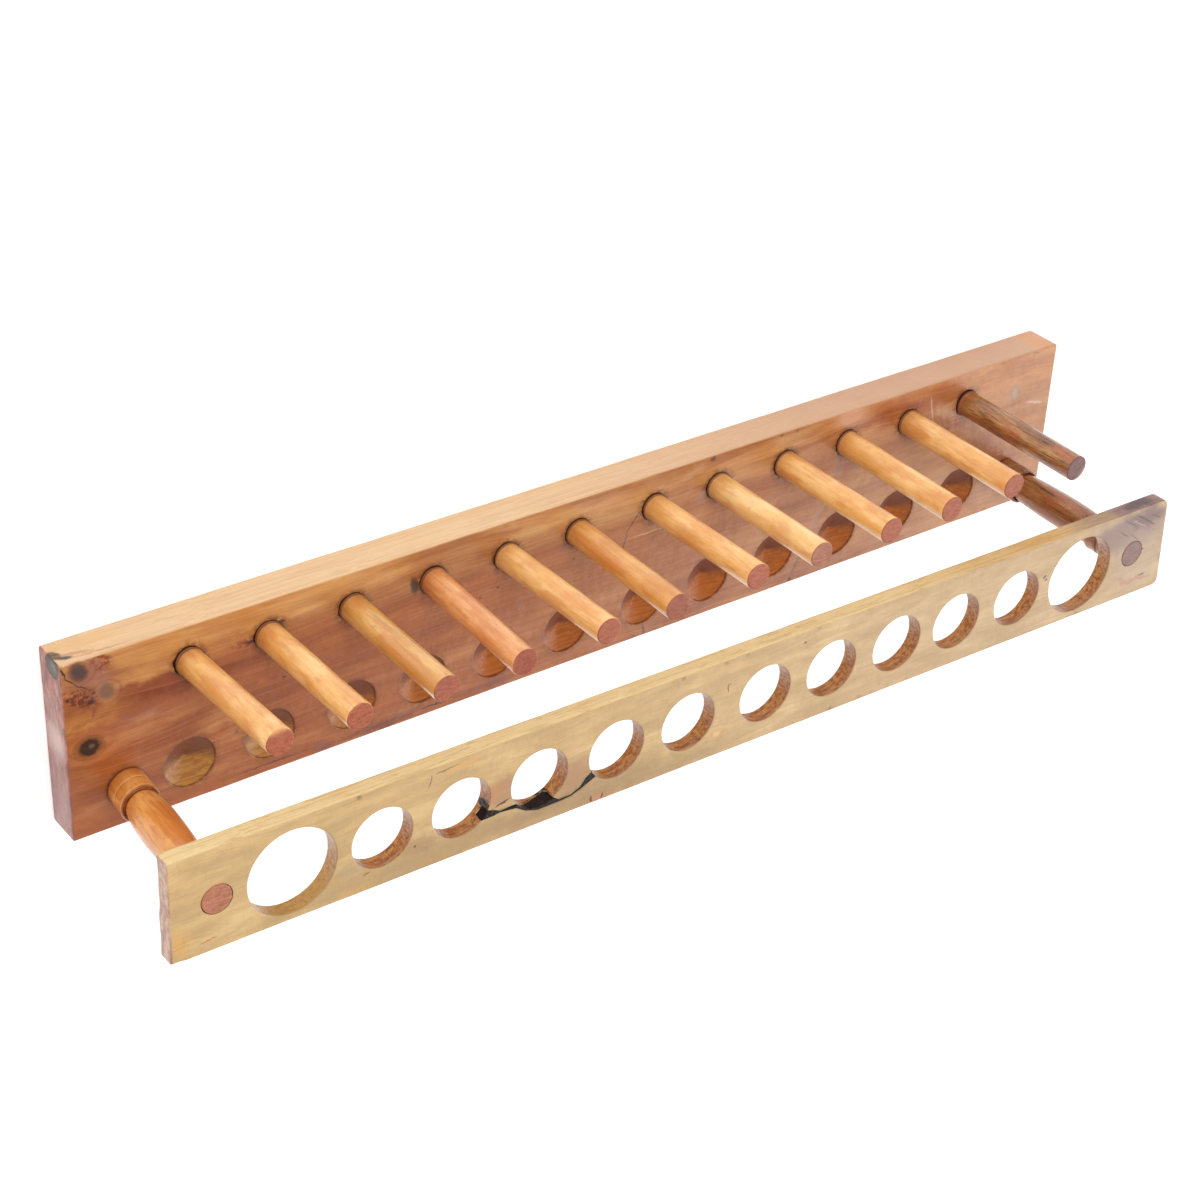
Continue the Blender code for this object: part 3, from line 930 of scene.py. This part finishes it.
BASE_SIDE_MARKS = (  # on the long pale side, as X and Z
    (-208.6, 7.6, 2, 2.9, -35, "1E1616", 0.9, 0.25),
    (-209, 7.6, 1.5, 2.4, -35, "50463E", 0.95, 0.25),
    (-206, 10.6, 2.4, 0.9, 12, "3A2834", 0.9, 0.4),
    (-203, 9.5, 6, 0.8, 12, "B8703C", 0.6, 0.55),
    (-196, 12, 9, 0.5, 2, "C07C46", 0.6, 0.55),
    (-198, 5, 12, 2.5, 4, "D9A868", 0.5, 0.6),
    (204, 7, 5, 9, 0, "CC8A52", 0.6, 0.4),
    (-40, 3, 90, 0.7, 0, "D8AC74", 0.45, 0.6),
    (60, 10, 80, 0.5, 0, "C89A6C", 0.45, 0.6),
)
BASE_END_MARKS = (  # on the dark end, as Y and Z
    (30.3, 8.8, 3.9, 4.4, 10, "1E1818", 0.9, 0.14),
    (30.6, 9, 3.4, 3.8, 10, "4E463E", 0.95, 0.2),
    (31, 10, 1.2, 1.8, 30, "7E766C", 0.6, 0.5),
    (24, 13, 4, 0.5, -8, "5A3A3A", 0.6, 0.5),
    (2, 7, 6, 6, 0, "DCC2BA", 0.55, 0.6),
    (-22, 8, 12, 3, 15, "A87874", 0.55, 0.6),
    (14, 5, 5, 2, 35, "A87468", 0.55, 0.6),
)


def wood_lines(g, where, broad, fine, fibre):
    """Growth bands, growth lines and fibres, all long in X. The scales are features to the millimetre."""
    bands = g.noise((0.006, broad, broad), 2.0, 0.5, where=where)
    lines = g.noise((0.010, fine, fine), 4.0, 0.6, where=where)
    hairs = g.noise((0.07, fibre, fibre), 2.0, 0.6, where=where)
    return bands, lines, hairs


def wandering(g, scale, reach):
    """The place, moved about by noise, so that what is painted there has an irregular outline."""
    moves = []
    for shift in (0.0, 190.0):
        moves.append(g.sway(g.noise(scale, 3.0, 0.55, where=g.vector("ADD", g.place, (shift, 0, 0))), reach))
    return g.vector("ADD", g.place, g.point(moves[0], moves[1], moves[1]))


def base_material():
    g = Graph("base_wood")
    across = g.plus(g.y, g.sway(g.noise((0.014, 0.03, 0.03), 1.0), 12.0))
    for x, y, radius in BASE_KNOTS:
        away = g.vector("LENGTH", g.stretch(g.vector("SUBTRACT", g.place, (x, y, 0)), (0.8, 1, 0)))
        across = g.between(g.fade(away, radius * 2.5, radius), across, g.times(away, 1.2))
    bands, lines, hairs = wood_lines(g, g.point(g.x, across, g.z), 0.09, 1.05, 5.0)
    shifted = wandering(g, 0.16, 9.0)
    nudged = wandering(g, 0.7, 1.5)

    # The top: reddish along the seats, and paler sapwood along the pegs.
    lower = g.mix(g.fade(g.x, -110, 150), "A66034", "B98050")
    mottle = g.noise((0.045, 0.20, 0.20), 4.0, 0.62)
    upper = g.layers("CB8E50", (
        (g.x, -120, -60, 1, "D09C64"),
        (g.x, 0, 120, 1, "C88B56"),
        (mottle, 0.58, 0.4, 0.32, "B06A34"),
        (mottle, 0.52, 0.68, 0.45, "D2A662"),
    ))
    rise = g.plus(g.y, g.sway(bands, 14))
    # stains, and the painted reflection by the right post
    paint = g.spots(g.mix(g.fade(rise, 14, 25), lower, upper), shifted, BASE_STAINS_AND_REFLECTION)
    cloud = g.noise((0.03, 0.12, 0.12), 4.0, 0.6)
    paint = g.layers(paint, (
        (cloud, 0.58, 0.36, 0.45, "9A5632"),
        (cloud, 0.52, 0.7, 0.28, "D49A62"),
        (bands, 0.46, 0.64, 0.34, "B87A54", "MULTIPLY"),
    ))
    clear = g.fade(g.x, 90, 175, 1.0, 0.4)
    paint = g.mix(g.times(clear, g.fade(lines, 0.46, 0.70, 0, 0.20)), paint, "A0683C", "MULTIPLY")
    paint = g.layers(paint, (
        (lines, 0.45, 0.33, 0.12, "E0A66C"),
        (hairs, 0.5, 0.72, 0.26, "A87450", "MULTIPLY"),
        (g.noise((0.25, 2.6, 2.6), 1), 0.68, 0.8, 0.4, "66341F"),
    ))
    grit = g.fade(g.noise((0.55, 0.75, 0.75), 4.0, 0.7), 0.43, 0.55)
    paint = g.spots(paint, nudged, BASE_CRINKLES, grit)

    # The pale long side.
    pale = g.layers("DAB68A", (
        (g.x, -60, 150, 1, "BE9273"),
        (lines, 0.42, 0.66, 0.4, "BE9068"),
        (hairs, 0.48, 0.75, 0.35, "B8845A"),
    ))
    moved_x, moved_y, moved_z = g.add("ShaderNodeSeparateXYZ", {0: nudged}).outputs
    pale = g.spots(pale, g.point(moved_x, moved_z, 0.0), BASE_SIDE_MARKS)
    side = g.times(g.fade(g.y, 32.2, 32.7), g.fade(g.z, 14.28, 14.05))
    paint = g.mix(side, paint, pale)

    # The end grain.
    patches = g.noise((0.16, 0.40, 1), 4.0, 0.62, 32, g.point(g.y, g.z, 0.0))
    mauve = g.layers("86534B", (
        (patches, 0.36, 0.58, 1, "B17567"),
        (patches, 0.56, 0.7, 0.8, "CEA290"),
        (g.y, 2, -10, 0.45, "86544E"),
    ))
    marked = g.spots(mauve, g.point(moved_y, moved_z, 0.0), BASE_END_MARKS)
    mauve = g.mix(g.fade(g.x, 10, -10), mauve, marked)
    ends = g.plus(g.fade(g.x, -209.2, -209.6), g.fade(g.x, 209.2, 209.6))
    paint = g.mix(ends, paint, mauve)
    top = g.times(g.fade(g.z, 13.6, 14.0), g.fade(g.x, -209.9, -209.5))
    paint = g.mix(top, paint, g.spots(paint, nudged, BASE_MARKS))

    # The seats and sockets, with painted shade on the walls that face -Y, away from the light.
    inside = g.mark("wall")
    normal = g.add("ShaderNodeNewGeometry").outputs["Normal"]
    # the normal's Y, for painted shade on the walls that face -Y
    shade_side_y = g.add("ShaderNodeSeparateXYZ", {0: normal}).outputs[1]
    inner = g.layers("B4803A", (
        (g.x, -150, -60, 1, "B4631F"),
        (lines, 0.38, 0.62, 0.6, "844617"),
        (shade_side_y, 0.16, -0.16, 0.85, "6A3628"),
    ))
    paint = g.mix(g.times(inside, 0.92), paint, inner)
    # Painted shade: dark in the sockets, round the pegs' roots and along the seats' rims.
    painted_shade = g.times(g.mark("painted_shade"), g.fade(g.noise(0.5), 0.36, 0.56, 0.15, 0.9))
    paint = g.mix(painted_shade, paint, "4A2816")
    height = g.plus(g.times(lines, 0.5), g.times(hairs, 0.4), g.times(g.noise(0.30), 1.4))
    rough = g.fade(g.noise(0.08, 3.0), 0.35, 0.65, 0.36, 0.54)
    return g.surface(paint, rough, height, 0.00014, g.fade(inside, 0, 1, 0.50, 0.40), 0.15)


PLATE_STAINS = (  # these tables have the same columns as the base's table of stains and painted reflection
    (-125, -25, 6, 4, -10, "987458", 0.6, 0.6),
    (185, -11, 7, 6, 0, "80645E", 0.4, 0.6),
    (-94, -17, 6, 6, -10, "A87C5C", 0.75, 0.6),
    (-66, -22, 10, 6.5, -20, "A67A5C", 0.75, 0.55),
    (-84, -30.5, 16, 2.2, 4, "A47A60", 0.6, 0.6),
    (-57, -35, 7.5, 3.2, 0, "CC8A62", 0.9, 0.4),
    (-209, -28, 3, 4, 0, "DDA24C", 0.45, 0.7),
    (-147, -34, 7, 2.5, 0, "DCA65A", 0.45, 0.7),
    (-119, -34, 6, 2.2, 0, "D39C5A", 0.45, 0.7),
    (-109, -1, 6, 1.6, 0, "DDA65A", 0.45, 0.7),
    (-150, -24, 7, 2.5, 0, "A28C70", 0.5, 0.7),
    (-99, -16, 4, 3, 0, "BC8450", 0.5, 0.6),
    (-95, -32, 75, 6.5, -1, "A2865E", 0.6, 0.55),
    (-60, -31, 22, 4.5, 0, "967A56", 0.4, 0.7),
    (-30, -33, 20, 3.5, 0, "94794F", 0.4, 0.7),
    (188, -10, 21, 8.5, -3, "8E746C", 0.9, 0.45),
    (197, -6, 10, 4.2, -5, "705658", 0.75, 0.5),
    (196, -24, 14, 12, 0, "B29A86", 0.6, 0.5),
    (194, -32.5, 10, 1.1, -8, "B8806A", 0.6, 0.6),
    (-6.5, -28, 3, 2.2, 0, "C89A5E", 0.6, 0.4),
)
PLATE_MARKS = (
    (-144, -28.5, 1.2, 0.3, 10, "6A4A30", 0.85, 0.5),
    (-126.5, -25.3, 0.5, 0.5, 0, "6A4228", 0.85, 0.5),
    (-199, -30, 3, 0.25, 5, "A85A38", 0.6, 0.5),
    (-120.8, -2.5, 0.22, 2.2, -14, "6A4630", 0.75, 0.5),
    (-115, -0.2, 4.2, 0.2, 5, "6A4630", 0.7, 0.5),
    (-93.5, -21.6, 2.8, 0.32, 14, "2A1E1A", 0.92, 0.4),
    (-58.5, -34.4, 0.4, 1.4, 10, "5A3020", 0.85, 0.5),
    (-54, -34.7, 0.4, 1.3, -10, "5A3020", 0.85, 0.5),
    (-56, -36, 2.5, 0.25, 4, "8A5036", 0.6, 0.5),
    (-2.8, -11, 0.28, 1.6, 8, "6E553C", 0.8, 0.5),
    (-2.2, -9.4, 0.9, 0.25, 20, "6E553C", 0.7, 0.5),
    (-6.5, -28, 1.5, 1, 0, "DCB886", 0.7, 0.4),
    (30, -4, 0.6, 0.5, 0, "5E4632", 0.85, 0.5),
    (145, -15.8, 0.8, 0.6, 30, "4E3A2C", 0.9, 0.5),
    (146, -17.3, 0.7, 0.5, 0, "4E3A2C", 0.85, 0.5),
    (199, -32, 1.6, 0.35, 0, "4A3430", 0.85, 0.5),
    (193, -8, 4.5, 0.22, -32, "CDB8AE", 0.45, 0.5),
    (195, -6.5, 5, 0.3, -32, "46363A", 0.75, 0.5),
    (199, -9.5, 4, 0.26, -30, "503E42", 0.7, 0.5),
    (188, -6.5, 4.5, 0.26, -36, "54424A", 0.6, 0.5),
    (202, -7.5, 3, 0.24, -28, "46363A", 0.7, 0.5),
    (185.5, -10.5, 3, 0.24, -34, "54424A", 0.55, 0.5),
    (191.5, -13.5, 3.6, 0.24, -36, "5E4C50", 0.55, 0.5),
    (196.5, -20.3, 1.6, 0.28, 0, "4A3A3A", 0.85, 0.5),
    (135, -22.5, 1.2, 1, 0, "2E2420", 0.85, 0.4),
)
WALL_DRIPS = (  # black resin that ran down two bores: centre and half sizes
    ((-98.8, -21.6, 79.8), (1, 1.5, 3.4)),
    ((-99.4, -23.6, 81), (1.2, 1.2, 2.4)),
    ((-79.5, -28.8, 80.6), (5.5, 1.4, 2.8)),
    ((-75.2, -28, 79), (2.6, 1.6, 3.6)),
    ((-70.8, -10.6, 80.6), (0.8, 0.9, 2.4)),
)


PLATE_SLOPE = 0.012566  # the plate's long sides fall towards -Y by this much of each step in X


def plate_material():
    g = Graph("plate_wood")
    across = g.plus(g.y, g.sway(g.noise((0.018, 0.05, 0.05)), 14.0))
    bands, lines, hairs = wood_lines(g, g.point(g.x, across, g.z), 0.13, 1.15, 5.0)
    shifted = wandering(g, 0.16, 9.0)
    nudged = wandering(g, 0.7, 1.3)
    cloud = g.noise((0.035, 0.11, 0.11), 5.0, 0.62)
    paint = g.layers("CFAC77", (
        (g.x, -100, 150, 1, "C9A981"),
        (cloud, 0.42, 0.64, 0.6, "AE9062"),
        (g.noise((0.07, 0.3, 0.3), 3, 0.6, -38), 0.4, 0.6, 0.3, "B69A72"),
        (cloud, 0.46, 0.32, 0.45, "E0C490"),
        (bands, 0.48, 0.66, 0.4, "B8976A"),
    ))
    paint = g.layers(g.spots(paint, shifted, PLATE_STAINS), (
        (lines, 0.5, 0.7, 0.26, "A47F55"),
        (hairs, 0.5, 0.74, 0.3, "9A7850"),
        (g.noise((0.95, 0.2, 0.6), 3, 0.6, 40), 0.52, 0.7, 0.1, "8E7654"),
    ))

    # The long side that faces the pegs, darkest near its +X end, and the sawn ends.
    rim = g.layers("DABF8C", (
        (g.x, 60, 150, 1, "CCA468"),
        (g.x, 150, 172, 1, "A0805E"),
        (g.x, 178, 184, 1, "8A6860"),
    ))
    rim = g.mix(g.blob(shifted, (194, 0, 79.5), (7.5, 9, 2.6), 0, 0.35, 0.85), rim, "4E383E")
    rim = g.layers(rim, (
        (lines, 0.46, 0.68, 0.4, "C49A62", "MULTIPLY"),
        (hairs, 0.5, 0.74, 0.3, "B4905C", "MULTIPLY"),
    ))
    past_edge = g.plus(g.y, g.times(g.x, PLATE_SLOPE))
    side = g.times(g.fade(past_edge, 0.1, 0.6), g.fade(g.z, 82.66, 82.45))
    paint = g.mix(side, paint, rim)
    end = g.plus(g.fade(g.x, -210.9, -211.5), g.fade(g.x, 205.8, 206.6, 0, 0.4))
    sawn = g.fade(g.noise((0.3, 0.28, 0.5), 4.0, 0.65), 0.38, 0.62)
    paint = g.mix(end, paint, g.mix(sawn, "A67E6C", "C8A48E"))
    paint = g.spots(paint, nudged, PLATE_MARKS)

    # The walls of the holes.
    inside = g.mark("wall")
    turned = g.noise((0.16, 0.9, 0.9), 4.0, 0.65)
    wall = g.layers("BE8446", (
        (turned, 0.38, 0.62, 1, "8E5024"),
        (g.z, 80.6, 82.2, 0.35, "A87868"),
        (g.x, -152, -158, 0.75, "B8924C"),
        (turned, 0.62, 0.7, 0.6, "5A2E14"),
    ))
    paint = g.mix(g.times(inside, 0.92), paint, wall)
    runs = wandering(g, 0.5, 1.6)
    for middle, half in WALL_DRIPS:
        paint = g.mix(g.times(inside, g.blob(runs, middle, half, 0, 0.15)), paint, "141112")
    ridges = g.times(inside, g.times(g.noise((0.9, 0.9, 0.5)), 4.0))
    height = g.plus(g.times(lines, 0.5), g.times(hairs, 0.5), g.noise(0.35), ridges)
    rough = g.fade(inside, 0, 1, 0.46, 0.30)
    return g.surface(paint, rough, height, 0.00014, g.fade(inside, 0, 1, 0.35, 0.80), 0.16)


NO_LIP = -99.0


def turned_material(name, tones, end_height, seed, streak, speck, fine, lip=NO_LIP):
    """Varnished turned wood with its fibres upright, end grain on its top disc and painted shade under a lip.
    """
    light, middle, dark, end_tone = tones
    g = Graph(name)
    moved = g.vector("ADD", g.place, (seed * 13.7, seed * 7.9, 0))
    lines = g.noise((fine, fine, 0.05 * fine), 3.0, 0.6, where=moved)
    hairs = g.noise((3.6, 3.6, 0.25), 2.0, 0.6, where=moved)
    marks = g.noise((fine, fine, 0.45 * fine), 2.0, 0.7, where=moved)
    warm = g.noise((0.14, 0.14, 0.045), 3.0, 0.6, where=moved)
    paint = g.layers(light, (
        (g.noise((0.20, 0.20, 0.055), 3.0, 0.55, where=moved), 0.36, 0.62, 1, middle),
        (lines, 0.48, 0.70, streak, dark),
        (lines, 0.44, 0.30, streak * 0.6, light),
        (hairs, 0.50, 0.76, streak * 0.7, dark),
        (marks, 0.60, 0.76, speck, dark),
        (marks, 0.40, 0.28, speck * 0.6, light),
        (warm, 0.47, 0.62, 0.6, g.mix(0.5, middle, "B8501A")),
    ))
    tip = g.fade(g.z, end_height - 0.30, end_height - 0.12)
    pits = g.noise((1.6, 1.6, 0.4), 2.0, 0.6, where=moved)
    ends = g.layers(end_tone, (
        (g.noise((0.35, 1.3, 0.2), 3, 0.65, 25, moved), 0.36, 0.64, 0.45, "743422"),
        (pits, 0.56, 0.72, 0.45, "602A1C"),
        (pits, 0.4, 0.28, 0.25, "D89A7C"),
    ))
    # painted shade in the recess under a collar's lip
    lip_shade_distance = g.math("ABSOLUTE", g.math("SUBTRACT", g.z, lip))
    paint = g.layers(g.mix(tip, paint, ends), (
        (g.z, 24, 14.5, 0.45, g.mix(0.5, middle, "A84A16")),
        (g.z, 15.6, 14.9, 0.8, "5A2412"),
        (lip_shade_distance, 0.75, 0.4, 0.8, "7A2E14"),
    ))
    dust = g.fade(g.noise(1.3, 1.0), 0.62, 0.78, 0, 0.8)
    height = g.plus(g.times(lines, 0.6), g.times(hairs, 0.4), g.times(g.noise(0.22), 1.8), dust)
    rough = g.between(tip, g.fade(g.noise(0.10), 0.35, 0.65, 0.30, 0.44), 0.55)
    return g.surface(paint, rough, height, 0.00010, g.between(tip, 0.85, 0.30), 0.13)


def resin_material():
    g = Graph("black_resin")
    paint = g.layers("100A08", (
        (g.noise(0.5, 3), 0.35, 0.7, 1, "1E1614"),
        (g.noise(2.6), 0.68, 0.78, 0.45, "5A524E"),
    ))
    rough = g.fade(g.noise(0.9), 0.35, 0.65, 0.30, 0.50)
    return g.surface(paint, rough, g.noise(0.8, 3.0), 0.00030, 0.10, 0.10)


PEG_COMMON = ("F0BE7A", "E2A55C", "B87A40", "AC5E42")  # light, middle, dark and end-grain colours
PEG_TONES = {
    3: ("E0AC68", "D09850", "946230", "A86048"),
    4: ("E6A468", "D48A50", "A05C34", "A05640"),
    6: ("E0A65E", "D29048", "A86A34", "9E5A44"),
    8: ("F2C88A", "E8B46E", "BC8248", "AC7058"),
    12: ("B8844E", "8A5630", "341C10", "705658"),
}
POST_TONES = {
    "post_left": ("E8A458", "D2863E", "9A4A1C", "B87A5E"),
    "post_right": ("B07848", "925A32", "42241A", "8A7068"),
}


# ---------------------------------------------------------------- camera, light and floor


def make_camera():
    camera = bpy.data.cameras.new("camera")
    camera.lens = CAMERA_LENS
    obj = add_object("camera", camera)
    back = -CAMERA_FORWARD.normalized()
    right = CAMERA_UP.cross(back).normalized()
    turn = Matrix((right, back.cross(right), back)).transposed().to_4x4()
    obj.matrix_world = Matrix.Translation(CAMERA_PLACE) @ turn
    bpy.context.scene.camera = obj


def direction(azimuth, elevation):
    """A unit vector: azimuth from +X towards +Y, and elevation above the floor, both in degrees."""
    a, e = radians(azimuth), radians(elevation)
    return Vector((cos(a) * cos(e), sin(a) * cos(e), sin(e)))


WORLD_STRENGTH = 0.66
PANEL_STRENGTH = 2.6
PANEL_PLACE = (-24, 32)  # azimuth and elevation in degrees
PANEL_REACH = (8, 30)  # degrees from its middle where it starts to fade and where it ends


def make_world():
    """White all round, with one brighter soft patch that the varnish mirrors."""
    world = bpy.data.worlds.new("studio")
    bpy.context.scene.world = world
    world.use_nodes = True
    tree = world.node_tree
    background = tree.nodes["Background"]
    coords = tree.nodes.new("ShaderNodeTexCoord")
    dot = tree.nodes.new("ShaderNodeVectorMath")
    dot.operation = "DOT_PRODUCT"
    dot.inputs[1].default_value = direction(*PANEL_PLACE)
    fade = tree.nodes.new("ShaderNodeMapRange")
    fade.interpolation_type = "SMOOTHSTEP"
    inner, outer = (cos(radians(angle)) for angle in PANEL_REACH)
    fade.inputs["From Min"].default_value = outer
    fade.inputs["From Max"].default_value = inner
    fade.inputs["To Min"].default_value = WORLD_STRENGTH
    fade.inputs["To Max"].default_value = WORLD_STRENGTH + PANEL_STRENGTH
    tree.links.new(coords.outputs["Generated"], dot.inputs[0])
    tree.links.new(dot.outputs["Value"], fade.inputs["Value"])
    tree.links.new(fade.outputs[0], background.inputs["Strength"])
    background.inputs["Color"].default_value = (1.0, 0.99, 0.98, 1.0)


KEY_SIZE = (1.1, 0.6)
KEY_ENERGY = 11.0
KEY_PLACE = (112, 52)  # azimuth and elevation in degrees
KEY_DISTANCE = 1.5


def make_key():
    light = bpy.data.lights.new("key", "AREA")
    light.shape = "RECTANGLE"
    light.size, light.size_y = KEY_SIZE
    light.energy = KEY_ENERGY
    obj = add_object("key", light)
    towards = direction(*KEY_PLACE)
    obj.location = towards * KEY_DISTANCE
    obj.rotation_mode = "QUATERNION"
    obj.rotation_quaternion = towards.to_track_quat("Z", "Y")


FLOOR_HALF = 12.0
FLOOR_GLOW = 0.35


def make_floor():
    mesh = bpy.data.meshes.new("floor")
    corners = [(x * FLOOR_HALF, y * FLOOR_HALF, 0) for x, y in ((-1, -1), (1, -1), (1, 1), (-1, 1))]
    mesh.from_pydata(corners, [], [(0, 1, 2, 3)])
    floor = add_object("floor", mesh)
    paint = bpy.data.materials.new("floor")
    paint.use_nodes = True
    shader = paint.node_tree.nodes["Principled BSDF"]
    shader.inputs["Base Color"].default_value = (0.88, 0.88, 0.88, 1)
    shader.inputs["Roughness"].default_value = 0.9
    shader.inputs["Specular IOR Level"].default_value = 0.1
    shader.inputs["Emission Color"].default_value = (1, 1, 1, 1)
    shader.inputs["Emission Strength"].default_value = FLOOR_GLOW
    mesh.materials.append(paint)


# ---------------------------------------------------------------- the whole rack


PEG_LOOK = (0.40, 0.9)  # how strong the specks are, and how fine the grain
DARK_PEG_LOOK = (0.85, 0.90, 1.7)  # how strong the streaks are too, before those
POST_LOOK = {"post_left": (0.35, 0.40, 0.9), "post_right": (0.80, 0.80, 1.0)}


def main():
    make_base(base_material())
    make_plate(plate_material())
    make_resin(resin_material())
    for number, node in enumerate(PEGS, start=1):
        tip = AXES[node][1].z / MM
        look = DARK_PEG_LOOK if number == TUBES else (0.30 + 0.04 * (number % 4),) + PEG_LOOK
        paint = turned_material(f"{node}_wood", PEG_TONES.get(number, PEG_COMMON), tip, number, *look)
        make_peg(number, node, paint)
    # height of the painted shade under the lower collars' lips, in millimetres
    lip = (BASE_TOP + COLLAR_HEIGHT) / MM + 0.15
    for node, look in POST_LOOK.items():
        tip = AXES[node][1].z / MM
        make_post(node, turned_material(f"{node}_wood", POST_TONES[node], tip, 31 + len(node), *look, lip))
    make_camera()
    make_world()
    make_key()
    make_floor()
    bpy.context.scene.view_settings.view_transform = "Standard"


main()
